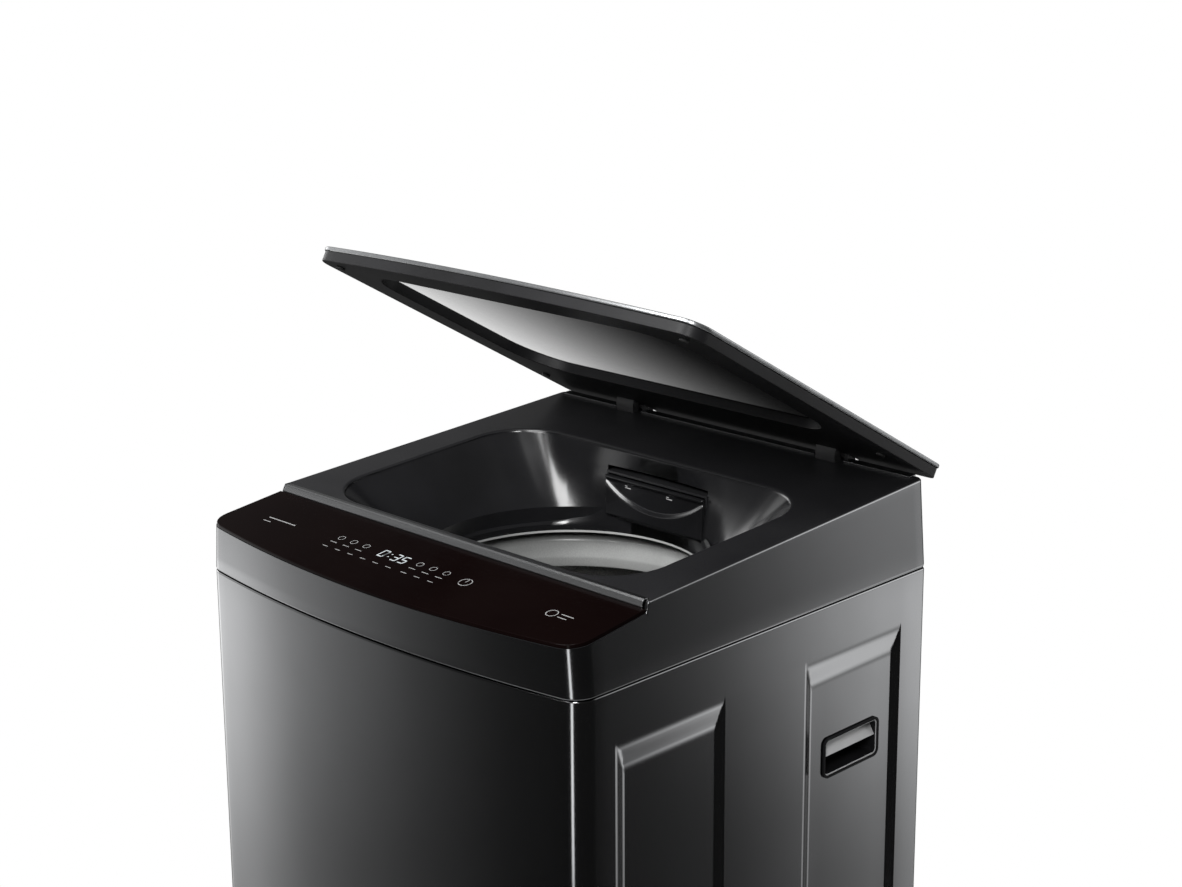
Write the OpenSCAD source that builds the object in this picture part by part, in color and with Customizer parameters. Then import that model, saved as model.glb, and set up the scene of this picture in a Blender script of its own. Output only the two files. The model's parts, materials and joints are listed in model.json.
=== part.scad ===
// Top-loading washing machine with a glass lid, built as it comes apart on a bench.
// Millimetres, +Z up, the front faces -Y. The origin is on the floor, under the
// middle of the machine's overall depth with the lid resting half open.

/* [Cabinet] */
// Width across the side walls
cab_w = 560; // [540:5:590]
// Depth from the middle of the bowed front to the back
cab_d = 552; // [545:1:570]
// Height of the seam between the cabinet and the top cover
seam_z = 850; // [835:5:880]
// How far the middle of the front stands ahead of its corners
front_bow = 20; // [12:1:24]
// Thickness of the sheet steel
sheet = 1; // [0.8:0.1:1.2]
// Depth of the pressed recesses in the side walls
recess_d = 6; // [4:0.5:8]

/* [Top cover] */
// Height of the deck at its front edge, above the seam
deck_rise = 73.4; // [70:0.2:80]
// Slope of the deck, up towards the back
deck_slope = 3.37; // [2:0.01:4]
// Lean of the cover's side walls
cover_lean = 4.67; // [3:0.01:5]
// Wall thickness of the moulded cover
cover_wall = 3; // [2.5:0.1:3.5]
// Width of the loading opening
mouth_w = 448; // [430:2:456]
// Depth of the loading opening, front to back
mouth_d = 296; // [280:2:300]
// Radius of the round lip at the foot of the funnel
lip_r = 152; // [145:1:158]
// How far the round lip hangs below the seam
lip_drop = 10; // [8:1:14]

/* [Lid] */
// Angle at which the lid rests in this file, above horizontal
lid_rest = 29.6; // [15:0.1:45]
// Width of the lid
lid_w = 556; // [550:1:558]
// Distance from the pivot to the lid's front corners
lid_reach = 436; // [430:1:440]
// How far the middle of the lid's front edge bows out
lid_bow = 15; // [8:1:18]
// Thickness of the glass
glass_t = 4.5; // [4:0.5:5]

/* [Tub and basket] */
// Outer radius of the tub
tub_r = 251; // [246:1:253]
// Radius of the steel basket
basket_r = 227; // [222:1:228]
// Height of the balance ring's top edge
ring_top = 833; // [828:1:834]
// Height of the basket floor
basket_floor = 372; // [365:1:380]

/* [Hidden] */
$fn = 96;

half_w = cab_w / 2;
corner_r = 25;
rear_r = 8;
fit_gap = 0.3;

// Hinge line, and the lid's section about it: forward is u, outward is w
pivot_behind = 3.2;
pivot_over_deck = 5.3;
lid_tail = 19.5;
lid_top = 13.5;
lid_under = -2.5;
glass_low = lid_top - glass_t;

// The resting lid is the rearmost piece, so it sets the overall depth
lid_overhang = pivot_behind + lid_tail * cos(lid_rest) + lid_top * sin(lid_rest);
front_y = -(cab_d + lid_overhang) / 2;
back_y = front_y + cab_d;
tub_y = back_y - 267;
corner_x = half_w - corner_r;
bow_r = (corner_x * corner_x + front_bow * front_bow) / (2 * front_bow);

// Top cover levels
seam_gap = 1.5;
trim_back = front_y + 127;
glass_back = trim_back - 9;
glass_slope = 7.3;
glass_front_z = seam_z + 51.5;
panel_glass_t = 4;
deck_z = seam_z + deck_rise;
deck_back_z = deck_z + (back_y - trim_back) * tan(deck_slope);
pivot_y = back_y + pivot_behind;
pivot_z = deck_back_z + pivot_over_deck + pivot_behind * tan(deck_slope);
hinge_x = 152;
arm_half = 13.5;
slot_half = arm_half + 0.5;
lug_half = slot_half + 6.3;
mouth_y = tub_y - 4;
mouth_r = 65;

// Base and feet
base_z = 20;
base_top = 62;
shell_low = 50;
foot_x = 225;
foot_front_y = front_y + 70;
foot_rear_y = back_y - 45;

// Suspension
rod_x = 228;
rod_dy = 222;
rod_r = 4;
cup_z = 318;
spring_low = 246;
spring_high = cup_z - 8;
bracket_z = 806;

// Drive train
shaft_r = 8;
tub_floor = 300;
tub_top = ring_top + 5;
belt_z = 84;
motor_x = -150;
motor_y = tub_y + 40;
belt_span = sqrt(motor_x * motor_x + 40 * 40);
belt_angle = atan2(40, motor_x);
big_pulley_r = 58;
small_pulley_r = 22;

// Detergent drawer in the back wall of the mouth
drawer_half = 74;
drawer_low = seam_z + 14;
drawer_high = seam_z + 60;
drawer_y = tub_y + 134;
drawer_len = 100;

// Height of the deck plane and of the control glass at depth y
function deck_at(y) = deck_z + (y - trim_back) * tan(deck_slope);
function glass_at(y) = glass_front_z + (y - front_y - 5) * tan(glass_slope);

// ---------- shared shapes ----------

// Plan of the cabinet: bowed front, rounded corners, pulled in by inset
module plan(inset = 0, half = half_w) {
    bow_y = front_y + bow_r;
    cx = half - corner_r;
    cy = bow_y - sqrt(pow(bow_r - corner_r, 2) - cx * cx);
    tangent_x = cx * (bow_r - inset) / (bow_r - corner_r);
    intersection() {
        translate([0, bow_y]) circle(r = bow_r - inset, $fn = 720);
        translate([-tangent_x, front_y - 1]) square([2 * tangent_x, cy - front_y + 2]);
    }
    for (side = [-1, 1]) {
        translate([side * cx, cy]) circle(r = corner_r - inset);
        translate([side * (half - rear_r), back_y - rear_r]) circle(r = rear_r - inset);
    }
    translate([-half + inset, cy]) square([2 * (half - inset), back_y - rear_r - cy]);
    translate([-half + rear_r, cy]) square([2 * (half - rear_r), back_y - inset - cy]);
}

module wall_block(inset, low, high) {
    translate([0, 0, low]) linear_extrude(high - low) plan(inset);
}

// Block with leaning side walls, for the top cover
module leaning_block(inset) {
    intersection_for (lean = [-cover_lean, cover_lean])
        translate([0, 0, seam_z])
            rotate([0, lean, 0])
                translate([0, 0, -40]) linear_extrude(180) plan(inset, half_w * cos(cover_lean));
}

// Extrudes an outline given in (y, z) across the machine, centred on x
module across(width, x = 0) {
    translate([x - width / 2, 0, 0])
        rotate([90, 0, 90]) linear_extrude(width) children();
}

module rounded_rect(w, d, r) {
    square([w, d - 2 * r], center = true);
    square([w - 2 * r, d], center = true);
    for (sx = [-1, 1], sy = [-1, 1])
        translate([sx * (w / 2 - r), sy * (d / 2 - r)]) circle(r = r);
}

module ring(r_out, r_in, z, h) {
    translate([0, 0, z])
        difference() {
            cylinder(r = r_out, h = h);
            translate([0, 0, -1]) cylinder(r = r_in, h = h + 2);
        }
}

module at_tub() { translate([0, tub_y, 0]) children(); }

// Pressed recess in the right side wall, bevelled on all four sides
module side_recess(y_front, y_back, grow) {
    bevel_near = 14;
    bevel_far = 7;
    bevel_z = 27;
    low = 110;
    high = seam_z - 57;
    out = 2;
    deep_x = half_w - recess_d - grow;
    open_x = half_w + out;
    spread = (recess_d + out) / recess_d;
    a = y_front - grow;
    b = y_back + grow;
    c = low - grow;
    d = high + grow;
    intersection() {
        translate([0, 0, c - 20]) linear_extrude(d - c + 40)
            polygon([
                [deep_x, a + bevel_near], [deep_x, b - bevel_far],
                [open_x, b - bevel_far + bevel_far * spread], [open_x, a + bevel_near - bevel_near * spread]
            ]);
        translate([0, b + 20, 0]) rotate([90, 0, 0]) linear_extrude(b - a + 40)
            polygon([
                [deep_x, c + bevel_z], [deep_x, d - bevel_z],
                [open_x, d - bevel_z + bevel_z * spread], [open_x, c + bevel_z - bevel_z * spread]
            ]);
    }
}

// Both recesses on both sides
module side_recesses(grow) {
    for (side = [0, 1]) mirror([side, 0, 0]) {
        side_recess(front_y + 73, front_y + 224, grow);
        side_recess(front_y + 350, front_y + 507, grow);
    }
}

handle_y = front_y + 432.5;
handle_z = seam_z - 171.5;
handle_len = 93;
handle_h = 45;

// Places children on both side walls at the carrying handles
module at_handle(side) {
    mirror([side, 0, 0])
        translate([half_w - recess_d, handle_y, handle_z]) rotate([0, 90, 0]) children();
}

// The rear panel sits just off the shell's rear flange
rear_y = back_y + 0.05;

module rear_screw_places() {
    for (side = [-1, 1], i = [0:3])
        translate([side * 252, back_y, 110 + i * 220]) rotate([-90, 0, 0]) children();
}

// ---------- cabinet ----------

module cabinet_shell() {
    flange = 28;
    color([0.13, 0.135, 0.14])
    difference() {
        wall_block(0, shell_low, seam_z);
        side_recesses(0);
        difference() {
            wall_block(sheet, shell_low - 1, seam_z + 1);
            side_recesses(sheet);
        }
        translate([-half_w + flange, back_y - 4, shell_low - 1])
            cube([cab_w - 2 * flange, 8, seam_z - shell_low - 19]);
        for (side = [0, 1]) at_handle(side)
            translate([0, 0, -5]) linear_extrude(10) rounded_rect(handle_h - 4.6, handle_len - 4.6, 6);
        rear_screw_places() translate([0, 0, -3]) cylinder(r = 2, h = 6);
    }
}

module rear_panel() {
    panel_w = cab_w - 40;
    color([0.24, 0.245, 0.25])
    difference() {
        union() {
            translate([-panel_w / 2, rear_y, 66]) cube([panel_w, sheet, seam_z - 70]);
            for (i = [0:4]) translate([-170, rear_y, 190 + i * 130]) cube([340, 4, 24]);
        }
        for (i = [0:4]) translate([-168, back_y - 1, 192 + i * 130]) cube([336, 4, 20]);
        rear_screw_places() translate([0, 0, -3]) cylinder(r = 2, h = 6);
        translate([gland_x, back_y - 3, gland_z]) rotate([-90, 0, 0]) cylinder(r = 9, h = 6);
        translate([drain_x, back_y - 3, drain_z]) rotate([-90, 0, 0]) cylinder(r = spigot_r + 0.2, h = 6);
    }
}

module screw(head_r, head_h, shank_r, length) {
    difference() {
        cylinder(r = head_r, h = head_h);
        for (turn = [0, 90])
            rotate(turn) translate([-head_r * 0.6, -0.4, head_h - 0.8]) cube([head_r * 1.2, 0.8, 1]);
    }
    translate([0, 0, -length]) cylinder(r = shank_r, h = length);
}

module rear_screws() {
    color("silver") rear_screw_places() translate([0, 0, sheet + 0.1]) screw(4.5, 2, 1.8, 6);
}

module foot_places() {
    for (side = [-1, 1], y = [foot_front_y, foot_rear_y]) translate([side * foot_x, y, 0]) children();
}

module base_frame() {
    rim = 3;
    floor_w = 36;
    color([0.10, 0.10, 0.11])
    difference() {
        union() {
            difference() {
                wall_block(sheet + fit_gap, base_z, base_top);
                wall_block(rim + sheet, base_z - 1, base_top + 1);
            }
            difference() {
                wall_block(rim, base_z + 8, base_z + 12);
                translate([-half_w + floor_w, front_y + 60, base_z])
                    cube([cab_w - 2 * floor_w, cab_d - 100, 30]);
            }
            intersection() {
                wall_block(rim, base_z, base_top - 14);
                foot_places() translate([0, 0, base_z]) cylinder(r = 32, h = 24);
            }
        }
        foot_places() translate([0, 0, base_z - 1]) cylinder(r = 5.05, h = 60);
        foot_places() translate([0, 0, base_z - 1]) cylinder(r = 20, h = 7);
    }
}

// Levelling foot: rubber pad, washer and threaded stud
module foot(x, y) {
    color([0.08, 0.08, 0.08]) translate([x, y, 0]) {
        cylinder(r = 21, h = 7);
        translate([0, 0, 7]) cylinder(r1 = 21, r2 = 17, h = 5);
        translate([0, 0, 12]) cylinder(r = 17, h = 4);
        translate([0, 0, 16]) cylinder(r = 13, h = 10, $fn = 6);
        translate([0, 0, 26]) cylinder(r = 5, h = 34);
    }
}

// ---------- top cover ----------

// Side outline of the cover in (y, z), with its top drawn down by drop
module cover_outline(drop, panel_drop, low) {
    step_y = glass_back + drop;
    polygon([
        [front_y - 5, low],
        [front_y - 5, glass_at(front_y - 5) - panel_drop],
        [step_y, glass_at(step_y) - panel_drop],
        [step_y + 2, deck_z - 1 - drop],
        [step_y + 5, deck_z - 0.2 - drop],
        [trim_back + drop, deck_at(trim_back + drop) - drop],
        [back_y - drop, deck_at(back_y - drop) - drop],
        [back_y - drop, low]
    ]);
}

// Loading funnel: rounded rectangle at the deck, round lip at its foot
module funnel(grow) {
    hull() {
        translate([0, mouth_y, deck_at(mouth_y) + 2]) rotate([deck_slope, 0, 0])
            linear_extrude(0.5) rounded_rect(mouth_w + 2 * grow, mouth_d + 2 * grow, mouth_r + grow, $fn = 32);
        translate([0, tub_y, seam_z + 0.5]) cylinder(r = lip_r + grow, h = 0.5, $fn = 64);
    }
}

module drawer_tunnel(gap) {
    translate([-drawer_half - 2 - gap, drawer_y - 12, drawer_low - 4 - gap])
        cube([2 * (drawer_half + 2 + gap), 34, drawer_high - drawer_low + 8 + 2 * gap]);
}

module trim_outline(gap) {
    foot_z = glass_at(glass_back) - panel_glass_t;
    polygon([
        [glass_back, foot_z - gap],
        [glass_back, glass_at(glass_back) + 1],
        [glass_back + 2, deck_z - 1],
        [glass_back + 4, deck_z + 0.1],
        [trim_back, deck_z + 0.1],
        [trim_back + gap, deck_z - 2.5 - gap],
        [glass_back + 3 + gap, deck_z - 2.5 - gap],
        [glass_back + 3 + gap, foot_z - gap]
    ]);
}

module hinge_pockets() {
    for (side = [-1, 1])
        translate([side * hinge_x - lug_half - fit_gap, back_y - 25, deck_back_z - 24.4])
            cube([2 * (lug_half + fit_gap), 40, 40]);
}

inlet_x = 205;
inlet_z = seam_z + 52;
thread_r = 13.2;

module top_cover() {
    rail_h = 2.4;
    color([0.16, 0.16, 0.17])
    difference() {
        union() {
            difference() {
                intersection() {
                    leaning_block(0);
                    across(cab_w + 20) cover_outline(0, 0, seam_z + seam_gap);
                }
                intersection() {
                    leaning_block(cover_wall);
                    across(cab_w + 20) cover_outline(cover_wall, panel_glass_t + cover_wall, seam_z - 1);
                }
            }
            intersection() {
                difference() {
                    wall_block(sheet + 0.5, seam_z - 12, seam_z + seam_gap);
                    wall_block(sheet + 3, seam_z - 13, seam_z + seam_gap + 1);
                }
                translate([-half_w, front_y - 1, seam_z - 12]) cube([cab_w, cab_d - 5, 14]);
            }
            intersection() {
                funnel(cover_wall);
                across(cab_w + 20) cover_outline(0.5, 0.5, seam_z);
            }
            at_tub() translate([0, 0, seam_z - lip_drop]) cylinder(r = lip_r + cover_wall, h = lip_drop + 1);
            translate([-262, back_y - 12.2, deck_at(back_y - 12.2) - 1])
                rotate([deck_slope, 0, 0]) cube([524, 11, rail_h + 1]);
        }
        funnel(0);
        at_tub() translate([0, 0, seam_z - lip_drop - 1]) cylinder(r = lip_r, h = lip_drop + 3);
        across(cab_w + 20) polygon([
            [front_y - 6, glass_at(front_y - 6) - panel_glass_t],
            [glass_back, glass_at(glass_back) - panel_glass_t],
            [glass_back, glass_at(glass_back) + 20],
            [front_y - 6, glass_at(front_y) + 20]
        ]);
        across(538) trim_outline(0.1);
        drawer_tunnel(fit_gap);
        hinge_pockets();
        translate([inlet_x, back_y - 8, inlet_z]) rotate([-90, 0, 0]) cylinder(r = 14.5, h = 12);
    }
}

module panel_trim() {
    color([0.62, 0.63, 0.64]) across(537.6) trim_outline(0);
}

module control_glass() {
    color([0.03, 0.025, 0.025])
    intersection() {
        leaning_block(0.6);
        across(cab_w + 20) polygon([
            [front_y - 6, glass_at(front_y - 6) - panel_glass_t + 0.05],
            [glass_back - fit_gap, glass_at(glass_back - fit_gap) - panel_glass_t + 0.05],
            [glass_back - fit_gap, glass_at(glass_back - fit_gap)],
            [front_y - 6, glass_at(front_y - 6)]
        ]);
    }
}

// Places children on the plane under the control glass
module under_panel(depth) {
    translate([0, front_y + 62, glass_at(front_y + 62) - depth]) rotate([glass_slope, 0, 0]) children();
}

board_depth = 19;
board_t = 1.6;

module control_board() {
    color([0.05, 0.28, 0.14]) under_panel(board_depth) {
        translate([-150, -38, 0]) cube([300, 76, board_t]);
        for (i = [0:4]) translate([-130 + i * 22, 12, board_t]) cube([12, 12, 3]);
        for (i = [0:2]) translate([70 + i * 26, -10, board_t]) cylinder(r = 8, h = 6);
        for (sx = [-1, 1], sy = [-1, 1])
            translate([sx * 143, sy * 31, -5]) cylinder(r = 3, h = 5);
    }
}

module display_module() {
    color([0.12, 0.12, 0.12]) under_panel(board_depth) {
        translate([-75, -28, board_t]) cube([100, 34, 8]);
        translate([-70, -23, board_t + 8]) cube([90, 24, 1.5]);
    }
}

module hinge_housings() {
    low = deck_back_z - 24;
    color([0.07, 0.07, 0.075])
    for (side = [-1, 1]) translate([side * hinge_x, 0, 0]) difference() {
        union() {
            translate([-lug_half, back_y - 24.6, low]) cube([2 * lug_half, 35.2, 22]);
            for (ear = [-1, 1]) {
                translate([ear * (slot_half + 3.1) - 3, pivot_y - 6.5, low]) cube([6, 13, pivot_z - low]);
                translate([ear * (slot_half + 3.1) - 3, pivot_y, pivot_z])
                    rotate([0, 90, 0]) cylinder(r = 6.5, h = 6);
            }
        }
        translate([-slot_half, pivot_y - 23.5, pivot_z - 23.2]) cube([2 * slot_half, 28.5, 60]);
        translate([-slot_half, pivot_y, pivot_z]) rotate([0, 90, 0]) cylinder(r = 7.2, h = 2 * slot_half);
        translate([-lug_half - 2, pivot_y, pivot_z]) rotate([0, 90, 0]) cylinder(r = 3, h = 2 * lug_half + 4);
    }
}

module hinge_pins() {
    color("silver")
    for (side = [-1, 1]) translate([side * hinge_x - lug_half, pivot_y, pivot_z])
        rotate([0, 90, 0]) cylinder(r = 3, h = 2 * lug_half);
}

module drawer_housing() {
    out = drawer_half + 2;
    color([0.09, 0.09, 0.10])
    difference() {
        translate([-out, drawer_y + 6, drawer_low - 4])
            cube([2 * out, drawer_len + 12, drawer_high - drawer_low + 8]);
        translate([-out + 2.5, drawer_y + 5, drawer_low - 1.5])
            cube([2 * out - 5, drawer_len + 10.5, drawer_high - drawer_low + 3]);
        translate([out - 3, drawer_y + 70, inlet_z]) rotate([0, 90, 0]) cylinder(r = 5.5, h = 5);
    }
}

module inlet_valve() {
    color([0.85, 0.86, 0.88]) translate([inlet_x, back_y, inlet_z]) {
        rotate([-90, 0, 0]) {
            translate([0, 0, -30]) cylinder(r = 14, h = 31);
            translate([0, 0, 0.2]) cylinder(r = 19, h = 2);
            translate([0, 0, 2]) cylinder(r = thread_r, h = 20);
            translate([0, 0, -52]) cylinder(r = 17, h = 22);
        }
        translate([-13, -50, 12]) cube([26, 22, 22]);
        translate([-30, -42, 0]) rotate([0, 90, 0]) cylinder(r = 6, h = 16);
    }
}

module inlet_hose() {
    y = drawer_y + 70;
    x_in = drawer_half + 2.5;
    x_out = inlet_x - 30;
    y_valve = back_y - 42;
    color([0.2, 0.2, 0.2]) difference() {
        union() {
            translate([x_in - 2, y, inlet_z]) rotate([0, 90, 0]) cylinder(r = 5.3, h = 6);
            translate([x_in + 2, y, inlet_z]) rotate([0, 90, 0]) cylinder(r = 8, h = 30);
            translate([x_in + 32, y, inlet_z]) sphere(r = 8);
            translate([x_in + 32, y, inlet_z]) rotate([-90, 0, 0]) cylinder(r = 8, h = y_valve - y);
            translate([x_in + 32, y_valve, inlet_z]) sphere(r = 8);
            translate([x_in + 32, y_valve, inlet_z]) rotate([0, 90, 0]) cylinder(r = 8, h = x_out - x_in - 22);
        }
        translate([x_out - 0.5, y_valve, inlet_z]) rotate([0, 90, 0]) cylinder(r = 6, h = 20);
    }
}

module pressure_sensor() {
    color([0.75, 0.75, 0.72]) translate([-205, back_y - 45, inlet_z - 8]) {
        cylinder(r = 24, h = 16);
        translate([0, 0, 16]) cylinder(r = 14, h = 6);
        translate([0, 0, -12]) cylinder(r = 3, h = 12);
    }
}

module lid_switch() {
    color([0.1, 0.1, 0.1])
    translate([246, trim_back + 60, deck_at(trim_back + 60) - cover_wall - 9.5])
        rotate([deck_slope, 0, 0]) cube([16, 40, 9], center = true);
}

// Carrying handle: bezel, finger box and a sloping grip flap to lift by
module handle() {
    depth = 25;
    wall = 1.6;
    lip = 2.5;
    body_h = handle_h - 5.6;
    body_len = handle_len - 5.6;
    flap_edge = -1;
    flap_root = -20.5;
    color([0.05, 0.05, 0.055])
    difference() {
        union() {
            linear_extrude(lip) rounded_rect(handle_h, handle_len, 8);
            translate([0, 0, -depth]) linear_extrude(depth) rounded_rect(body_h, body_len, 5.5);
        }
        translate([0, 0, lip - wall]) linear_extrude(4) rounded_rect(body_h, body_len, 5.5);
        difference() {
            translate([0, 0, -depth + wall]) linear_extrude(depth + 4)
                rounded_rect(body_h - 2 * wall, body_len - 2 * wall, 4);
            rotate([90, 0, 0]) linear_extrude(handle_len, center = true)
                polygon([[flap_root, -12.6], [flap_edge, -0.6], [flap_edge, -3.4], [flap_root, -15.4]]);
        }
    }
}

module handle_right() { at_handle(0) handle(); }
module handle_left() { at_handle(1) handle(); }

// ---------- suspension ----------

module rod_places() {
    for (sx = [-1, 1], sy = [-1, 1]) translate([sx * rod_x, tub_y + sy * rod_dy, 0]) children();
}

module suspension_brackets() {
    reach = 88;
    color([0.5, 0.5, 0.52])
    difference() {
        intersection() {
            wall_block(sheet + 0.05, bracket_z, bracket_z + 30);
            union() {
                for (sx = [-1, 1], y = [front_y - 5, back_y + 5])
                    translate([sx * half_w, y, bracket_z]) rotate(45) cube([2 * reach, 2 * reach, 8], center = true);
                for (sx = [-1, 1], y = [back_y - 70, front_y + 34])
                    translate([sx * (half_w - 2.5), y + 18, bracket_z + 15]) cube([5, 36, 30], center = true);
            }
        }
        rod_places() translate([0, 0, bracket_z - 20]) cylinder(r = 5, h = 50);
    }
}

module suspension_rods() {
    color("silver") rod_places() {
        translate([0, 0, spring_low - 6]) cylinder(r = rod_r, h = bracket_z - spring_low + 12);
        translate([0, 0, spring_low - 6]) cylinder(r = 22, h = 5.7);
        translate([0, 0, bracket_z + 4]) cylinder(r1 = 12, r2 = 8, h = 10);
    }
}

// One turn-by-turn coil: rings of wire_sides points around a helix
wire_sides = 6;
coil_turns = 5;
ring_steps = 12;

function coil_point(i, j, r, wire, pitch) =
    let (a = i * 360 / ring_steps, b = j * 360 / wire_sides, s = r + wire * cos(b))
        [s * cos(a), s * sin(a), pitch * i / ring_steps + wire * sin(b)];

module coil(r, wire, height) {
    rings = coil_turns * ring_steps;
    pitch = (height - 2 * wire) / coil_turns;
    n = wire_sides;
    points = [for (i = [0:rings], j = [0:n - 1]) coil_point(i, j, r, wire, pitch)];
    sides = [
        for (i = [0:rings - 1], j = [0:n - 1])
            [i * n + j, i * n + (j + 1) % n, (i + 1) * n + (j + 1) % n, (i + 1) * n + j]
    ];
    start = [for (j = [n - 1:-1:0]) j];
    end = [for (j = [0:n - 1]) rings * n + j];
    translate([0, 0, wire]) polyhedron(points = points, faces = concat(sides, [start, end]), convexity = 6);
}

module suspension_springs() {
    color([0.55, 0.55, 0.57]) rod_places() translate([0, 0, spring_low]) coil(15, 2.2, spring_high - spring_low);
}

module suspension_cups() {
    color([0.82, 0.82, 0.8]) rod_places() difference() {
        translate([0, 0, spring_high + 0.3]) cylinder(r = 20, h = cup_z - spring_high - 0.3);
        translate([0, 0, spring_high - 1]) cylinder(r = 6, h = 30);
    }
}

// ---------- services low in the cabinet ----------

module inverter_box() {
    color([0.2, 0.2, 0.22]) translate([40, front_y + 14, base_z + 12]) {
        cube([110, 40, 90]);
        for (i = [0:7]) translate([8 + i * 13, 40, 10]) cube([3, 8, 70]);
    }
}

drain_x = 150;
drain_y = tub_y + 90;
drain_z = 118;
spigot_r = 15;

gland_x = 190;
gland_z = 690;

module drain_hose() {
    color([0.3, 0.3, 0.31]) difference() {
        union() {
            translate([drain_x, drain_y, drain_z]) cylinder(r = 21, h = 92);
            translate([drain_x, drain_y, drain_z]) sphere(r = 21);
            translate([drain_x, drain_y, drain_z]) rotate([-90, 0, 0])
                cylinder(r = 21, h = back_y - 30 - drain_y);
        }
        translate([drain_x, drain_y, drain_z]) cylinder(r = 16.5, h = 100);
        translate([drain_x, drain_y, drain_z]) rotate([-90, 0, 0]) cylinder(r = spigot_r, h = 200);
    }
}

module drain_spigot() {
    color([0.12, 0.12, 0.12]) translate([drain_x, back_y, drain_z]) rotate([-90, 0, 0]) difference() {
        union() {
            translate([0, 0, -60]) cylinder(r = spigot_r, h = 83);
            translate([0, 0, sheet + 0.1]) cylinder(r = 24, h = 2);
        }
        translate([0, 0, -61]) cylinder(r = 12.5, h = 90);
    }
}

module cord_gland() {
    color([0.06, 0.06, 0.06]) translate([gland_x, back_y, gland_z]) rotate([-90, 0, 0]) difference() {
        union() {
            translate([0, 0, -8]) cylinder(r = 8.8, h = 10);
            translate([0, 0, sheet + 0.1]) cylinder(r = 13, h = 3);
            translate([0, 0, sheet + 3]) cylinder(r1 = 9, r2 = 7, h = 12);
        }
        translate([0, 0, -9]) cylinder(r = 4, h = 30);
    }
}

// ---------- lid ----------

// Puts a piece made about the hinge line (forward is -Y) at its resting angle
module on_lid() {
    translate([0, pivot_y, pivot_z]) rotate([-lid_rest, 0, 0]) children();
}

// Plan of the lid, pulled in by inset
module lid_plan(inset) {
    half = lid_w / 2;
    r = 25;
    tail_r = 12;
    cx = half - r;
    bow = (cx * cx + lid_bow * lid_bow) / (2 * lid_bow);
    bow_y = -lid_reach - lid_bow + bow;
    cy = bow_y - sqrt(pow(bow - r, 2) - cx * cx);
    tangent_x = cx * (bow - inset) / (bow - r);
    intersection() {
        translate([0, bow_y]) circle(r = bow - inset, $fn = 720);
        translate([-tangent_x, -lid_reach - lid_bow - 1]) square([2 * tangent_x, cy + lid_reach + lid_bow + 2]);
    }
    for (side = [-1, 1]) {
        translate([side * cx, cy]) circle(r = r - inset);
        translate([side * (half - tail_r), lid_tail - tail_r]) circle(r = tail_r - inset);
    }
    translate([-half + inset, cy]) square([2 * (half - inset), lid_tail - tail_r - cy]);
    translate([-half + tail_r, cy]) square([2 * (half - tail_r), lid_tail - inset - cy]);
}

// Screws through the hinge arms' plates
arm_screw_u = [34, 52];
module arm_screw_places() {
    for (side = [-1, 1], u = arm_screw_u) translate([side * hinge_x, -u, 0]) children();
}

window_w = 460;
window_near = 105;
window_far = 404;

module window_plan(r) {
    translate([0, -(window_near + window_far) / 2])
        rounded_rect(window_w, window_far - window_near, r);
}

module lid_glass() {
    color([0.1, 0.1, 0.11]) on_lid() translate([0, 0, glass_low]) linear_extrude(glass_t) lid_plan(0);
}

module lid_frame() {
    color([0.07, 0.07, 0.075]) on_lid() difference() {
        translate([0, 0, lid_under]) linear_extrude(glass_low - lid_under) lid_plan(1.5);
        translate([0, 0, lid_under - 1]) linear_extrude(20) window_plan(58);
        for (side = [-1, 1]) translate([side * hinge_x, 0, 0]) {
            translate([-lug_half - 1.5, -9, lid_under - 1]) cube([2 * lug_half + 3, 40, 20]);
            translate([-arm_half - 0.4, -62, 3.7]) cube([2 * arm_half + 0.8, 70, 10]);
            translate([-arm_half - 0.4, -25, lid_under - 1]) cube([2 * arm_half + 0.8, 30, 20]);
        }
        translate([240, -418, 1]) cube([18, 34, 6]);
        arm_screw_places() translate([0, 0, lid_under - 1]) cylinder(r = 4.6, h = 8);
    }
}

module hinge_arms() {
    inner = 12;
    outer = 22;
    sweep = 95;
    color([0.3, 0.3, 0.31]) on_lid() for (side = [-1, 1]) translate([side * hinge_x - arm_half, 0, 0])
    difference() {
        union() {
            translate([0, -61, 4]) cube([2 * arm_half, 64, 4.7]);
            rotate([0, 90, 0]) cylinder(r = 6.5, h = 2 * arm_half);
            translate([0, -outer, 0]) cube([2 * arm_half, outer - inner, 6]);
            intersection() {
                rotate([0, 90, 0]) ring(outer, inner, 0, 2 * arm_half);
                union() {
                    translate([0, -outer - 1, -outer - 1]) cube([2 * arm_half, outer + 1, outer + 1]);
                    rotate([90 - sweep, 0, 0]) translate([0, -outer - 1, -outer - 1])
                        cube([2 * arm_half, outer + 1, outer + 1]);
                }
            }
        }
        translate([-1, 0, 0]) rotate([0, 90, 0]) cylinder(r = 3.05, h = 2 * arm_half + 2);
        for (u = arm_screw_u) translate([arm_half, -u, 0]) cylinder(r = 2, h = 20);
    }
}

module hinge_arm_screws() {
    color("silver") on_lid() arm_screw_places()
        translate([0, 0, 4]) mirror([0, 0, 1]) screw(4, 2, 1.9, 4.6);
}

module lid_bumpers() {
    color([0.05, 0.05, 0.05]) on_lid() for (side = [-1, 1], u = [60, 414])
        translate([side * 252, -u, lid_under - 2.5]) cylinder(r = 5, h = 2.5);
}

module lid_magnet() {
    color([0.4, 0.4, 0.42]) on_lid() translate([241, -416, 1]) cube([16, 30, 6]);
}

// ---------- detergent drawer ----------

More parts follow.
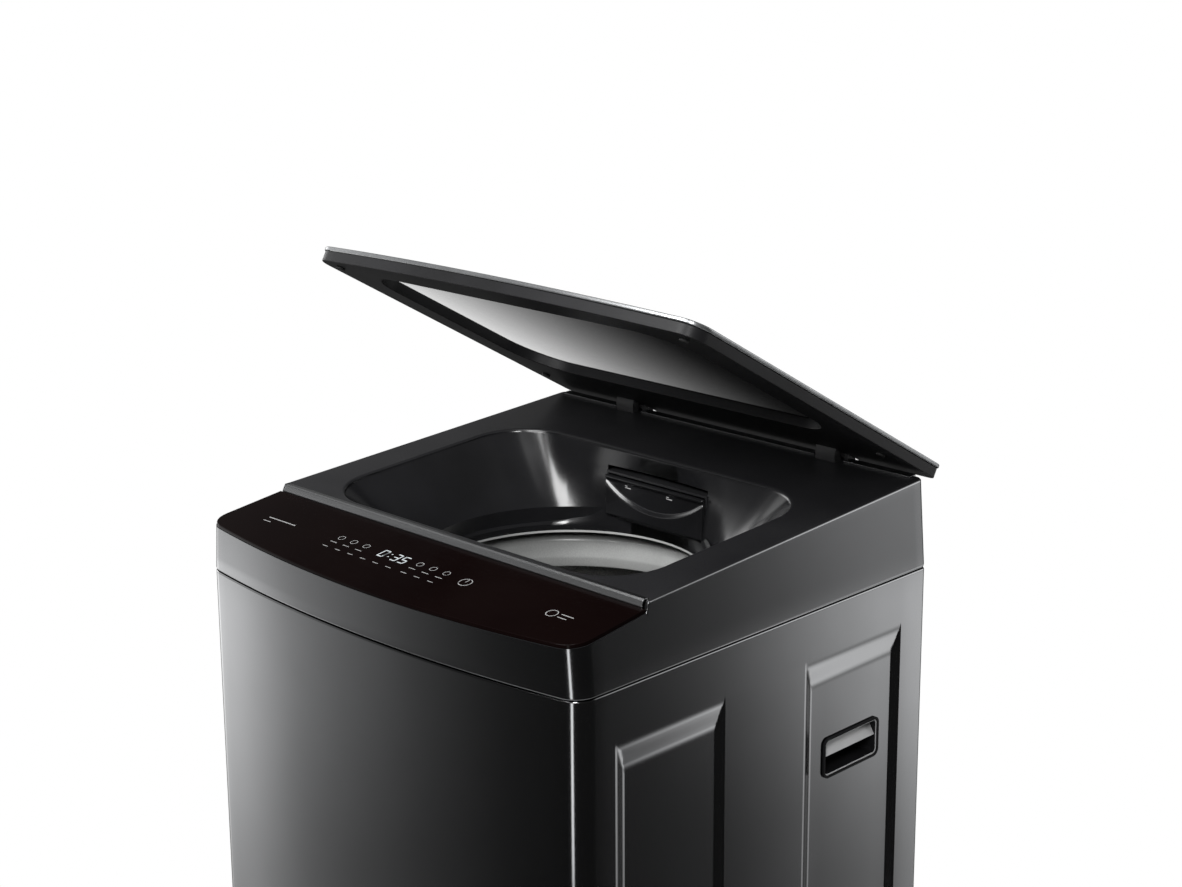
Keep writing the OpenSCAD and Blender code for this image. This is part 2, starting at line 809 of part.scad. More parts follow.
module drawer_body() {
    wide = drawer_half - 2;
    tall = drawer_high - drawer_low - 5;
    color([0.55, 0.56, 0.58])
    translate([0, drawer_y + 6, drawer_low])
    difference() {
        translate([-wide, 0, 0]) cube([2 * wide, drawer_len, tall]);
        translate([-wide + 2, 2, 2]) cube([wide + 18, drawer_len - 4, tall]);
        translate([22, 2, 2]) cube([wide - 24, drawer_len - 4, tall]);
        for (i = [0:3]) translate([-50 + i * 16, drawer_len - 3, 6]) cube([8, 4, 10]);
        translate([40, 60, -1]) cylinder(r = 3.5, h = 4);
    }
}

module drawer_front() {
    grip_r = 120;
    dip = 33;
    color([0.04, 0.04, 0.045])
    difference() {
        translate([-drawer_half, drawer_y, drawer_low])
            cube([2 * drawer_half, 6, drawer_high - drawer_low]);
        intersection() {
            translate([0, drawer_y + 3, drawer_high - dip + grip_r]) rotate([90, 0, 0]) cylinder(r = grip_r, h = 8);
            translate([-80, drawer_y - 5, drawer_low]) cube([160, 8, drawer_high - drawer_low - 2.5]);
        }
    }
}

module siphon_cap() {
    color([0.2, 0.35, 0.6]) translate([40, drawer_y + 66, drawer_low + 2]) difference() {
        union() {
            cylinder(r = 9, h = 30);
            translate([0, 0, 26]) cylinder(r = 13, h = 6);
        }
        translate([0, 0, -1]) cylinder(r = 6, h = 29);
    }
}

// ---------- tub ----------

module lug_shape() {
    for (sx = [-1, 1], sy = [-1, 1]) {
        lug = sqrt(rod_x * rod_x + rod_dy * rod_dy);
        rotate(atan2(sy * rod_dy, sx * rod_x)) {
            translate([tub_r - 12, -22, cup_z]) cube([lug - tub_r + 12, 44, 12]);
            translate([lug, 0, cup_z]) cylinder(r = 22, h = 12);
            translate([tub_r - 12, -4, cup_z + 12]) cube([lug - tub_r - 14, 8, 40]);
        }
    }
}

module outer_tub() {
    wall = 3;
    color([0.78, 0.79, 0.8]) difference() {
        at_tub() {
            difference() {
                union() {
                    translate([0, 0, tub_floor]) cylinder(r = tub_r, h = tub_top - 6 - tub_floor);
                    lug_shape();
                }
                translate([0, 0, tub_floor + 5]) cylinder(r = tub_r - wall, h = 600);
                for (sx = [-1, 1], sy = [-1, 1])
                    translate([sx * rod_x, sy * rod_dy, cup_z - 1]) cylinder(r = 6, h = 20);
            }
            for (turn = [0:30:330]) rotate(turn) translate([47, -2, tub_floor - 12]) cube([181, 4, 14]);
            ring(48, 28, tub_floor - 12, 17);
        }
        translate([drain_x, drain_y, tub_floor - 20]) cylinder(r = 14, h = 40);
        at_tub() translate([0, 0, tub_floor - 15]) cylinder(r = 30, h = 30);
    }
}

module tub_ring() {
    color([0.7, 0.71, 0.72]) at_tub() rotate_extrude()
        polygon([
            [206, tub_top], [206, tub_top + 2.4], [tub_r + 6, tub_top + 2.4], [tub_r + 6, tub_top - 22],
            [tub_r + 0.3, tub_top - 22], [tub_r + 0.3, tub_top - 6], [tub_r - 2.7, tub_top - 6], [tub_r - 2.7, tub_top]
        ]);
}

module mounting_plate() {
    color([0.45, 0.46, 0.47]) difference() {
        union() {
            at_tub() for (turn = [0, 90]) rotate(turn)
                translate([-200, -30, tub_floor - 16]) cube([400, 60, 3.7]);
            translate([motor_x - 75, motor_y - 75, tub_floor - 16]) cube([150, 150, 3.7]);
            at_tub() translate([0, 0, tub_floor - 16]) cylinder(r = 85, h = 3.7);
        }
        at_tub() translate([0, 0, tub_floor - 20]) cylinder(r = 36, h = 20);
        translate([drain_x, drain_y, tub_floor - 20]) cylinder(r = 26, h = 20);
    }
}

module gear_case() {
    color([0.6, 0.61, 0.62]) at_tub() difference() {
        union() {
            translate([0, 0, 150]) cylinder(r = 62, h = 70);
            translate([0, 0, 220]) cylinder(r1 = 62, r2 = 40, h = 20);
            translate([0, 0, 240]) cylinder(r = 35.5, h = 44);
            translate([0, 0, tub_floor - 22]) cylinder(r = 80, h = 5.7);
            for (turn = [0:60:300]) rotate(turn) translate([30, -3, 235]) cube([46, 6, 44]);
            translate([0, 0, 126]) cylinder(r = 38, h = 24);
        }
        translate([0, 0, 120]) cylinder(r = 27, h = 200);
        translate([0, 0, 156]) cylinder(r = 56, h = 58);
    }
}

bearing_z = [128, tub_floor - 36];

module spin_bearings() {
    color("silver") at_tub() for (z = bearing_z) {
        ring(26.95, 22, z, 14);
        ring(18.5, 14.05, z, 14);
        for (turn = [0:36:324]) rotate(turn) translate([20.25, 0, z + 7]) sphere(r = 3.4, $fn = 14);
    }
}

module shaft_seal() {
    color([0.1, 0.1, 0.1]) at_tub() {
        ring(30, 24, tub_floor - 13, 18);
        ring(24.5, 14.1, tub_floor - 3, 7);
    }
}

module motor_housing() {
    color([0.35, 0.36, 0.38]) translate([motor_x, motor_y, 0]) difference() {
        union() {
            translate([0, 0, 120]) cylinder(r = 62, h = 90);
            translate([0, 0, 112]) cylinder(r1 = 44, r2 = 62, h = 8);
            translate([0, 0, 210]) cylinder(r1 = 62, r2 = 48, h = 10);
            for (turn = [45:90:315]) rotate(turn) translate([66, 0, 200]) cylinder(r = 9, h = tub_floor - 16.1 - 200);
            for (turn = [45:90:315]) rotate(turn) translate([50, -6, 200]) cube([20, 12, 8]);
            for (turn = [0:15:345]) rotate(turn) translate([60, -1.2, 130]) cube([5, 2.4, 60]);
        }
        translate([0, 0, 100]) cylinder(r = 9.05, h = 60);
        translate([0, 0, 124]) cylinder(r = 50, h = 82);
    }
}

module drain_valve() {
    color([0.85, 0.85, 0.83]) translate([drain_x, drain_y, 0]) difference() {
        union() {
            translate([0, 0, 240]) cylinder(r = 24, h = tub_floor - 12.4 - 240);
            translate([0, 0, 262]) cylinder(r = 13.8, h = tub_floor - 262);
            translate([0, 0, 170]) cylinder(r = 15.5, h = 80);
            translate([0, 0, 254]) rotate([-90, 0, 0]) cylinder(r = 16, h = 60);
            translate([-24, 58, 238]) cube([48, 34, 32]);
        }
        translate([0, 0, 160]) cylinder(r = 12, h = 200);
    }
}

module belt_loop(grow) {
    hull() {
        circle(r = big_pulley_r + grow, $fn = 64);
        rotate(belt_angle) translate([belt_span, 0]) circle(r = small_pulley_r + grow, $fn = 48);
    }
}

module drive_belt() {
    color([0.04, 0.04, 0.04]) at_tub() translate([0, 0, belt_z - 4]) linear_extrude(8) difference() {
        belt_loop(4.4);
        belt_loop(0.4);
    }
}

// Grooved pulley with spokes
module pulley(r, hub_r, bore_r, spokes) {
    difference() {
        union() {
            translate([0, 0, -7]) cylinder(r = r + 7, h = 2);
            translate([0, 0, 5]) cylinder(r = r + 7, h = 2);
            translate([0, 0, -6]) cylinder(r = r, h = 12);
        }
        if (spokes > 0) for (i = [0:spokes - 1]) rotate(i * 360 / spokes)
            translate([(r + hub_r) / 2, 0, -8]) cylinder(r = (r - hub_r) * 0.34, h = 16);
        translate([0, 0, -8]) cylinder(r = bore_r, h = 16);
    }
}

module clutch_pulley() {
    color([0.5, 0.5, 0.52]) at_tub() {
        translate([0, 0, belt_z]) pulley(big_pulley_r, 20, 9, 6);
        ring(18, 9, belt_z + 7, 8);
        ring(26, 18, belt_z + 7, 30);
        translate([0, 0, belt_z - 7]) cylinder(r = 9, h = 40);
    }
}

module motor_pulley() {
    color([0.55, 0.55, 0.57]) translate([motor_x, motor_y, belt_z]) {
        pulley(small_pulley_r, 9, 9, 0);
        translate([0, 0, -7]) cylinder(r = 9, h = 66);
        translate([0, 0, 52]) cylinder(r = 45, h = 52);
    }
}

// ---------- basket ----------

module basket_wall() {
    color([0.72, 0.73, 0.74]) at_tub() ring(basket_r, basket_r - 1, basket_floor + 14, ring_top - 40 - basket_floor - 14);
}

module balance_ring() {
    color([0.42, 0.43, 0.44]) at_tub() rotate_extrude()
        polygon([
            [basket_r - 1.3, ring_top - 43], [basket_r - 1.3, ring_top - 40], [basket_r + 3, ring_top - 40],
            [basket_r + 3, ring_top - 3], [basket_r, ring_top], [190, ring_top], [180, ring_top - 3],
            [175, ring_top - 10], [174, ring_top - 30], [178, ring_top - 43]
        ]);
}

module basket_base() {
    color([0.7, 0.71, 0.72]) at_tub() difference() {
        union() {
            translate([0, 0, basket_floor - 28]) cylinder(r1 = basket_r - 14, r2 = basket_r - 1.3, h = 14);
            translate([0, 0, basket_floor - 14]) cylinder(r = basket_r - 1.3, h = 28);
        }
        translate([0, 0, basket_floor]) cylinder(r1 = basket_r - 42, r2 = basket_r - 3, h = 14.1);
        translate([0, 0, basket_floor - 16]) cylinder(r = basket_r - 46, h = 20);
        translate([0, 0, basket_floor - 40]) cylinder(r = 14, h = 50);
        for (turn = [0:30:330]) rotate(turn) translate([130, 0, basket_floor - 40]) cylinder(r = 12, h = 30);
    }
}

module lint_filter() {
    color([0.8, 0.81, 0.82]) at_tub() for (turn = [45, 225]) rotate(turn)
        translate([basket_r - 12.2, -35, basket_floor + 60]) difference() {
            cube([8, 70, 190]);
            translate([-1, 8, 12]) cube([5, 54, 150]);
        }
}

module spin_shaft() {
    color([0.62, 0.63, 0.64]) at_tub() {
        ring(14, shaft_r + 0.05, 122, basket_floor - 28 - 122 + 8);
        difference() {
            ring(110, 14, basket_floor - 36, 7.9);
            for (turn = [60:120:300]) rotate(turn) translate([80, 0, basket_floor - 37]) cylinder(r = 32, h = 12);
        }
    }
}

module pulsator() {
    rim_r = basket_r - 48;
    color([0.5, 0.51, 0.53]) at_tub() translate([0, 0, basket_floor - 13]) difference() {
        union() {
            cylinder(r = rim_r, h = 6);
            translate([0, 0, 6]) cylinder(r1 = rim_r, r2 = 40, h = 16);
            translate([0, 0, 6]) cylinder(r = 42, h = 30);
            for (turn = [0:60:300]) rotate(turn) intersection() {
                translate([30, 0, 6]) rotate([0, 90, 0]) cylinder(r = 24, h = rim_r - 36);
                translate([30, -14, 0]) cube([rim_r - 36, 28, 34]);
            }
        }
        translate([0, 0, -1]) cylinder(r = shaft_r, h = 24);
        translate([0, 0, 20]) cylinder(r = 3.2, h = 20);
        translate([0, 0, 30]) cylinder(r = 12, h = 10);
    }
}

module pulsator_screw() {
    color("silver") at_tub() translate([0, 0, basket_floor - 13 + 30]) screw(9, 4, 3.1, 6.8);
}

module drive_shaft() {
    color("silver") at_tub() translate([0, 0, belt_z + 33.5]) cylinder(r = shaft_r, h = basket_floor + 10 - belt_z - 33.5);
}

cabinet_shell();
rear_panel();
rear_screws();
base_frame();
top_cover();
panel_trim();
control_glass();
control_board();
display_module();
drawer_housing();
inlet_valve();
inlet_hose();
pressure_sensor();
lid_switch();
hinge_housings();
hinge_pins();
handle_right();
handle_left();
suspension_brackets();
suspension_rods();
suspension_springs();
inverter_box();
drain_hose();
drain_spigot();
cord_gland();
lid_glass();
lid_frame();
hinge_arms();
hinge_arm_screws();
lid_bumpers();
lid_magnet();
drawer_body();
drawer_front();
siphon_cap();
outer_tub();
tub_ring();
suspension_cups();
mounting_plate();
gear_case();
shaft_seal();
spin_bearings();
motor_housing();
drain_valve();
drive_belt();
basket_wall();
basket_base();
balance_ring();
lint_filter();
spin_shaft();
pulsator();
pulsator_screw();
drive_shaft();
clutch_pulley();
motor_pulley();
foot(-foot_x, foot_front_y);  // foot_front_left
foot(foot_x, foot_front_y);  // foot_front_right
foot(-foot_x, foot_rear_y);  // foot_rear_left
foot(foot_x, foot_rear_y);  // foot_rear_right
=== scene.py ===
import bpy
import bmesh
import json
import math
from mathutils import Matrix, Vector
from mathutils.geometry import tessellate_polygon

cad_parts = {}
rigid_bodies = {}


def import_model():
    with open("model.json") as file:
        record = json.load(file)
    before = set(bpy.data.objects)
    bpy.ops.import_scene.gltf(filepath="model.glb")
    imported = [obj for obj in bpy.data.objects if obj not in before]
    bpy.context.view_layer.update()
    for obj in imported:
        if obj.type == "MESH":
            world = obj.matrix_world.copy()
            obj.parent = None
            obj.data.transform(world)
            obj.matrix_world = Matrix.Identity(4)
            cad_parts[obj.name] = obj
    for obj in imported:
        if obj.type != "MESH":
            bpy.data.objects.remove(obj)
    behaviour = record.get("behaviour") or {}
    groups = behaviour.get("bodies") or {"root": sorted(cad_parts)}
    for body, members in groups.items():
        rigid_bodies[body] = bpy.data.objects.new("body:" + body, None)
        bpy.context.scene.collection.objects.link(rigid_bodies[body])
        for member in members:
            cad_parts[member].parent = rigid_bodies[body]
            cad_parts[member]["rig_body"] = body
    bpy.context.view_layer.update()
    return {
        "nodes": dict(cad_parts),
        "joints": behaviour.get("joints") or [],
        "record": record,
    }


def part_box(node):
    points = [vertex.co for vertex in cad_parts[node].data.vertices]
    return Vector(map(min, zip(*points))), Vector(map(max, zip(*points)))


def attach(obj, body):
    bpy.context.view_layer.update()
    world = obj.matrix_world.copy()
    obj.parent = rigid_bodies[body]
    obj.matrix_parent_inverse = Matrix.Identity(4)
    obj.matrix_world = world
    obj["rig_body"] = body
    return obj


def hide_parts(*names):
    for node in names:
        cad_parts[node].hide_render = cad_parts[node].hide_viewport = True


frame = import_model()
nodes = frame["nodes"]
joints = {joint["name"]: joint for joint in frame["joints"]}

# ---------------------------------------------------------------- sizes, in metres

MM = 0.001
shell_lo, shell_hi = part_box("cabinet_shell")
cover_lo, cover_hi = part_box("top_cover")
HALF_W = shell_hi.x
FRONT_Y = shell_lo.y
BACK_Y = shell_hi.y
SHELL_LOW = shell_lo.z
SEAM_Z = shell_hi.z
SHEET = 1 * MM
CORNER_R = 25 * MM
REAR_R = 8 * MM
FRONT_BOW = 20 * MM
CORNER_X = HALF_W - CORNER_R
BOW_R = (CORNER_X ** 2 + FRONT_BOW ** 2) / (2 * FRONT_BOW)

SEAM_GAP = 1.5 * MM
COVER_LEAN = math.radians(4.67)
DECK_SLOPE = math.tan(math.radians(3.37))
PANEL_SLOPE = math.tan(math.radians(7.3))
TRIM_BACK = FRONT_Y + 127 * MM
GLASS_BACK = TRIM_BACK - 9 * MM
DECK_FRONT_Z = SEAM_Z + 73.4 * MM
PANEL_FRONT_Z = SEAM_Z + 51.5 * MM
PANEL_T = 4 * MM

PIVOT = Vector(joints["lid_hinge"]["pos_m"])
TUB = Vector(joints["basket_spin"]["pos_m"])
HINGE_X = 152 * MM
LID_REST = math.radians(29.6)
LID_W = 556 * MM
LID_REACH = 436 * MM
LID_BOW = 15 * MM
LID_TAIL = 19.5 * MM
LID_TOP = 13.5 * MM
LID_UNDER = -2.5 * MM
LID_GLASS_LOW = LID_TOP - 4.5 * MM
MOUTH_Y = TUB.y - 4 * MM
MOUTH_W, MOUTH_D, MOUTH_R = 448 * MM, 296 * MM, 65 * MM
LIP_R = 152 * MM
LIP_DROP = 10 * MM


def deck_at(y):
    return DECK_FRONT_Z + (y - TRIM_BACK) * DECK_SLOPE


def panel_at(y):
    return PANEL_FRONT_Z + (y - FRONT_Y - 5 * MM) * PANEL_SLOPE


# ---------------------------------------------------------------- mesh helpers

class Builder:
    """Gathers patches of faces and makes them one object."""

    def __init__(self):
        self.points = []
        self.faces = []

    def add(self, points, faces):
        base = len(self.points)
        self.points.extend(Vector(p) for p in points)
        self.faces.extend(tuple(base + i for i in face) for face in faces)

    def grid(self, rows, wrap=False, keep=None):
        """Quads between rows of points; keep(i, j) may drop a quad."""
        n = len(rows[0])
        last = n if wrap else n - 1
        faces = []
        for i in range(len(rows) - 1):
            for j in range(last):
                if keep is None or keep(i, j):
                    k = (j + 1) % n
                    faces.append((i * n + j, i * n + k, (i + 1) * n + k, (i + 1) * n + j))
        self.add([p for row in rows for p in row], faces)

    def fill(self, outline, holes=()):
        """A flat face inside an outline, with holes."""
        loops = [list(outline)] + [list(hole) for hole in holes]
        flat = [Vector((p[0], p[1], 0)) for loop in loops for p in loop]
        sizes = [len(loop) for loop in loops]
        starts = [sum(sizes[:i]) for i in range(len(sizes))]
        polygons = [flat[s:s + n] for s, n in zip(starts, sizes)]
        self.add([p for loop in loops for p in loop], tessellate_polygon(polygons))

    def make(self, name, body, material, sharp=32, merge=0.01 * MM):
        mesh = bpy.data.meshes.new(name)
        bm = bmesh.new()
        verts = [bm.verts.new(p) for p in self.points]
        for face in self.faces:
            if len(set(face)) == len(face):
                try:
                    bm.faces.new([verts[i] for i in face])
                except ValueError:
                    pass
        bmesh.ops.remove_doubles(bm, verts=bm.verts, dist=merge)
        bmesh.ops.recalc_face_normals(bm, faces=bm.faces)
        bm.to_mesh(mesh)
        bm.free()
        return finish_piece(name, mesh, body, material, sharp)


def finish_piece(name, mesh, body, material, sharp):
    for polygon in mesh.polygons:
        polygon.use_smooth = True
    mesh.set_sharp_from_angle(angle=math.radians(sharp))
    piece = bpy.data.objects.new(name, mesh)
    bpy.context.scene.collection.objects.link(piece)
    mesh.materials.append(material)
    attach(piece, body)
    return piece


def weighted(piece):
    modifier = piece.modifiers.new("weighted", "WEIGHTED_NORMAL")
    modifier.keep_sharp = True
    return piece


def thicken(piece, thickness, offset=-1.0):
    modifier = piece.modifiers.new("thickness", "SOLIDIFY")
    modifier.thickness = thickness
    modifier.offset = offset
    return piece


def bevel(piece, width, segments=3, angle=35):
    modifier = piece.modifiers.new("bevel", "BEVEL")
    modifier.width = width
    modifier.segments = segments
    modifier.limit_method = "ANGLE"
    modifier.angle_limit = math.radians(angle)
    modifier.harden_normals = False
    modifier.use_clamp_overlap = True
    return piece


def bake(piece, sharp=30):
    """Makes a piece's modifiers part of its mesh and marks its sharp edges."""
    graph = bpy.context.evaluated_depsgraph_get()
    graph.update()
    mesh = bpy.data.meshes.new_from_object(piece.evaluated_get(graph))
    piece.modifiers.clear()
    old, piece.data = piece.data, mesh
    bpy.data.meshes.remove(old)
    for polygon in mesh.polygons:
        polygon.use_smooth = True
    mesh.set_sharp_from_angle(angle=math.radians(sharp))
    return weighted(piece)


def arc(cx, cy, r, a0, a1, n):
    """Points round an arc from angle a0 to a1, in degrees, both ends included."""
    steps = [math.radians(a0 + (a1 - a0) * i / n) for i in range(n + 1)]
    return [(cx + r * math.cos(a), cy + r * math.sin(a)) for a in steps]


def rounded_rect(w, d, r, cx=0.0, cy=0.0, n=8):
    """Outline of a rounded rectangle, anticlockwise."""
    points = []
    for sx, sy, start in ((1, -1, -90), (1, 1, 0), (-1, 1, 90), (-1, -1, 180)):
        points += arc(cx + sx * (w / 2 - r), cy + sy * (d / 2 - r), r, start, start + 90, n)
    return points


def spaced(a, b, n):
    return [a + (b - a) * i / n for i in range(n + 1)]


def soft_step(t, blur=0.2):
    """A ramp from 0 to 1 with rounded ends."""
    if t < -blur:
        return 0.0
    if t < blur:
        return (t + blur) ** 2 / (4 * blur)
    if t < 1 - blur:
        return t
    if t < 1 + blur:
        return 1 - (1 + blur - t) ** 2 / (4 * blur)
    return 1.0


RAMP_STOPS = (-0.2, -0.1, 0, 0.1, 0.2, 0.4, 0.6, 0.8, 0.9, 1, 1.1, 1.2)


def lathe(profile, centre, turns=128):
    """Rings of a turned profile of (radius, z) points."""
    angles = [2 * math.pi * j / turns for j in range(turns)]
    return [[(centre.x + r * math.cos(a), centre.y + r * math.sin(a), z) for a in angles] for r, z in profile]


def fillet(points, r, n=4):
    """Rounds the inner corners of an open outline in two dimensions."""
    out = [points[0]]
    for before, here, after in zip(points, points[1:], points[2:]):
        p, a, b = Vector(here), Vector(before) - Vector(here), Vector(after) - Vector(here)
        cut = min(r, a.length * 0.45, b.length * 0.45)
        start, end = p + a.normalized() * cut, p + b.normalized() * cut
        for i in range(n + 1):
            t = i / n
            out.append(tuple(start * (1 - t) ** 2 + p * 2 * t * (1 - t) + end * t ** 2))
    out.append(points[-1])
    return out


def softened(node, material, width=0.6 * MM, segments=2, name=None):
    """A copy of a CAD node with its facets joined and its edges rounded; it stands for the node."""
    mesh = nodes[node].data.copy()
    mesh.materials.clear()
    bm = bmesh.new()
    bm.from_mesh(mesh)
    bmesh.ops.remove_doubles(bm, verts=bm.verts, dist=0.005 * MM)
    bmesh.ops.dissolve_limit(bm, angle_limit=math.radians(0.5), verts=bm.verts, edges=bm.edges)
    bm.to_mesh(mesh)
    bm.free()
    piece = finish_piece(name or node + "_finished", mesh, nodes[node]["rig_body"], material, 30)
    bevel(piece, width, segments, 40)
    weighted(piece)
    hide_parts(node)
    return piece


# ---------------------------------------------------------------- materials

def new_material(name):
    material = bpy.data.materials.new(name)
    material.use_nodes = True
    tree = material.node_tree
    return material, tree, tree.nodes["Principled BSDF"]


def add(tree, kind, **values):
    node = tree.nodes.new(kind)
    for key, value in values.items():
        if hasattr(node, key):
            setattr(node, key, value)
        else:
            node.inputs[key].default_value = value
    return node


def coordinates(tree, stretch=(1, 1, 1)):
    coords = add(tree, "ShaderNodeTexCoord")
    mapping = add(tree, "ShaderNodeMapping")
    mapping.inputs["Scale"].default_value = stretch
    tree.links.new(coords.outputs["Object"], mapping.inputs["Vector"])
    return mapping.outputs["Vector"]


def noise(tree, scale, detail=3.0, stretch=(1, 1, 1), rough=0.5):
    node = add(tree, "ShaderNodeTexNoise")
    node.inputs["Scale"].default_value = scale
    node.inputs["Detail"].default_value = detail
    node.inputs["Roughness"].default_value = rough
    tree.links.new(coordinates(tree, stretch), node.inputs["Vector"])
    return node.outputs["Fac"]


def ramp(tree, value, stops):
    node = add(tree, "ShaderNodeValToRGB")
    elements = node.color_ramp.elements
    for i, (place, colour) in enumerate(stops):
        element = elements[i] if i < 2 else elements.new(place)
        element.position = place
        element.color = (*colour, 1) if len(colour) == 3 else colour
    tree.links.new(value, node.inputs["Fac"])
    return node.outputs["Color"]


def grey(v):
    return (v, v, v)


def bump(tree, height, strength, distance):
    node = add(tree, "ShaderNodeBump")
    node.inputs["Strength"].default_value = strength
    node.inputs["Distance"].default_value = distance
    tree.links.new(height, node.inputs["Height"])
    return node.outputs["Normal"]


def textured(name, dark, light, rough, scale, bump_size=0.0, metallic=0.0, stretch=(1, 1, 1),
             coat=0.0, specular=0.5, fine=900.0):
    """A surface whose colour and roughness drift with two scales of noise, with a fine bump."""
    material, tree, shader = new_material(name)
    shader.inputs["Metallic"].default_value = metallic
    shader.inputs["Coat Weight"].default_value = coat
    shader.inputs["Specular IOR Level"].default_value = specular
    drift = noise(tree, scale, 4.0, stretch)
    tree.links.new(ramp(tree, drift, ((0.3, dark), (0.7, light))), shader.inputs["Base Color"])
    grain = noise(tree, fine, 2.0, stretch)
    low, high = rough
    tree.links.new(ramp(tree, grain, ((0.25, grey(low)), (0.75, grey(high)))), shader.inputs["Roughness"])
    if bump_size:
        tree.links.new(bump(tree, grain, 0.5, bump_size), shader.inputs["Normal"])
    return material


M = {
    "paint": textured("cabinet_paint", (0.152, 0.154, 0.157), (0.166, 0.168, 0.172), (0.125, 0.140), 9,
                      0.0, 1.0, fine=2600),
    "wall": textured("cover_paint", (0.150, 0.152, 0.155), (0.164, 0.166, 0.170), (0.14, 0.16), 9,
                     0.0, 1.0, fine=2600),
    # Light grey for the handle's flap and rim faces: painted light, standing for the light falling on the
    # faces that turn outward and up.
    "flap": textured("handle_flap", (0.40, 0.404, 0.41), (0.46, 0.464, 0.47), (0.35, 0.45), 30,
                     0.00001, fine=900),
    "hinge": textured("hinge_black", (0.026, 0.026, 0.027), (0.034, 0.034, 0.035), (0.30, 0.40), 30,
                      0.00001, fine=900),
    # Light grey for the lid glass's edge faces: a painted highlight standing for the bright line along the
    # lid's edge.
    "edge": textured("polished_edge_painted_highlight", (0.20, 0.205, 0.21), (0.26, 0.265, 0.27), (0.24, 0.30), 30,
                     0.0, 0.8, fine=2600),
    "cover": textured("cover_abs", (0.010, 0.010, 0.011), (0.014, 0.014, 0.015), (0.26, 0.34), 12,
                      0.00002, fine=1400, specular=0.35),
    "gloss_black": textured("gloss_black_abs", (0.006, 0.006, 0.0065), (0.009, 0.009, 0.010),
                            (0.14, 0.22), 14, 0.00001, fine=600),
    "lid_black": textured("lid_black_abs", (0.008, 0.008, 0.0085), (0.012, 0.012, 0.013), (0.35, 0.45), 14,
                          0.00002, fine=1200, specular=0.12),
    # Near-black for the handle's bezel: its own dark plastic, also standing in for the shadow in the gap
    # round it (painted shade).
    "handle": textured("handle_black", (0.007, 0.007, 0.0075), (0.011, 0.011, 0.012), (0.42, 0.52), 14,
                       0.00002, fine=1200, specular=0.03),
    "satin_black": textured("satin_black_abs", (0.010, 0.010, 0.011), (0.015, 0.015, 0.016), (0.35, 0.45), 14,
                            0.00003, fine=1400),
    "trim": textured("satin_trim", (0.32, 0.324, 0.33), (0.38, 0.384, 0.39), (0.20, 0.28), 6,
                     0.00001, 1.0, (1, 40, 40), fine=900),
    "steel": textured("stainless", (0.46, 0.46, 0.455), (0.56, 0.56, 0.55), (0.20, 0.34), 5,
                      0.00001, 1.0, (1, 1, 40), fine=300),
    "zinc": textured("zinc_plate", (0.42, 0.43, 0.45), (0.56, 0.56, 0.55), (0.28, 0.45), 60,
                     0.00002, 1.0, fine=500),
    "rear": textured("rear_sheet", (0.05, 0.051, 0.053), (0.062, 0.063, 0.065), (0.35, 0.5), 20,
                     0.00003, 0.5, fine=900),
    "alloy": textured("cast_alloy", (0.34, 0.345, 0.35), (0.42, 0.425, 0.43), (0.38, 0.55), 70,
                      0.00008, 1.0, fine=400),
    "rubber": textured("black_rubber", (0.012, 0.012, 0.012), (0.020, 0.020, 0.020), (0.6, 0.8), 40,
                       0.00005, fine=900, specular=0.3),
    "tub": textured("tub_polypropylene", (0.42, 0.43, 0.43), (0.48, 0.49, 0.49), (0.45, 0.6), 25,
                    0.00004, fine=700),
    "grey": textured("grey_plastic", (0.15, 0.155, 0.16), (0.19, 0.195, 0.20), (0.28, 0.4), 20,
                     0.00002, fine=800),
    "white": textured("natural_plastic", (0.58, 0.58, 0.55), (0.66, 0.66, 0.63), (0.35, 0.5), 25,
                      0.00003, fine=800),
    "blue": textured("blue_cap", (0.03, 0.09, 0.27), (0.05, 0.12, 0.32), (0.25, 0.35), 30,
                     0.00002, fine=800),
    "board": textured("board_laminate", (0.01, 0.07, 0.03), (0.02, 0.10, 0.04), (0.25, 0.4), 90,
                      0.00003, fine=600),
    "magnet": textured("ferrite", (0.05, 0.05, 0.055), (0.08, 0.08, 0.085), (0.4, 0.6), 90,
                       0.00005, fine=500),
    "ring": textured("ring_plastic", (0.30, 0.305, 0.30), (0.36, 0.365, 0.36), (0.22, 0.32), 16,
                     0.00002, fine=900),
}


# ---------------------------------------------------------------- cabinet

def plan(inset=0.0, half=HALF_W, side_ys=(), bow_steps=40, rear_xs=()):
    """Outline of the cabinet, clockwise from the rear right corner, as (x, y, nx, ny)."""
    bow_y = FRONT_Y + BOW_R
    cx = half - CORNER_R
    cy = bow_y - math.sqrt((BOW_R - CORNER_R) ** 2 - cx ** 2)
    swing = math.degrees(math.asin(cx / (BOW_R - CORNER_R)))
    points = []

    def turn(px, py, r, a0, a1, n):
        for i in range(n + 1):
            a = math.radians(a0 + (a1 - a0) * i / n)
            nx, ny = math.cos(a), math.sin(a)
            points.append((px + (r - inset) * nx, py + (r - inset) * ny, nx, ny))

    turn(half - REAR_R, BACK_Y - REAR_R, REAR_R, 90, 0, 4)
    for y in sorted(side_ys, reverse=True):
        points.append((half - inset, y, 1, 0))
    turn(cx, cy, CORNER_R, 0, -90 + swing, 8)
    for i in range(1, bow_steps):
        a = math.radians(-90 + swing * (1 - 2 * i / bow_steps))
        nx, ny = math.cos(a), math.sin(a)
        points.append(((BOW_R - inset) * nx, bow_y + (BOW_R - inset) * ny, nx, ny))
    turn(-cx, cy, CORNER_R, -90 - swing, -180, 8)
    for y in sorted(side_ys):
        points.append((-half + inset, y, -1, 0))
    turn(-half + REAR_R, BACK_Y - REAR_R, REAR_R, 180, 90, 4)
    for x in sorted(rear_xs):
        points.append((x, BACK_Y - inset, 0, 1))
    return points


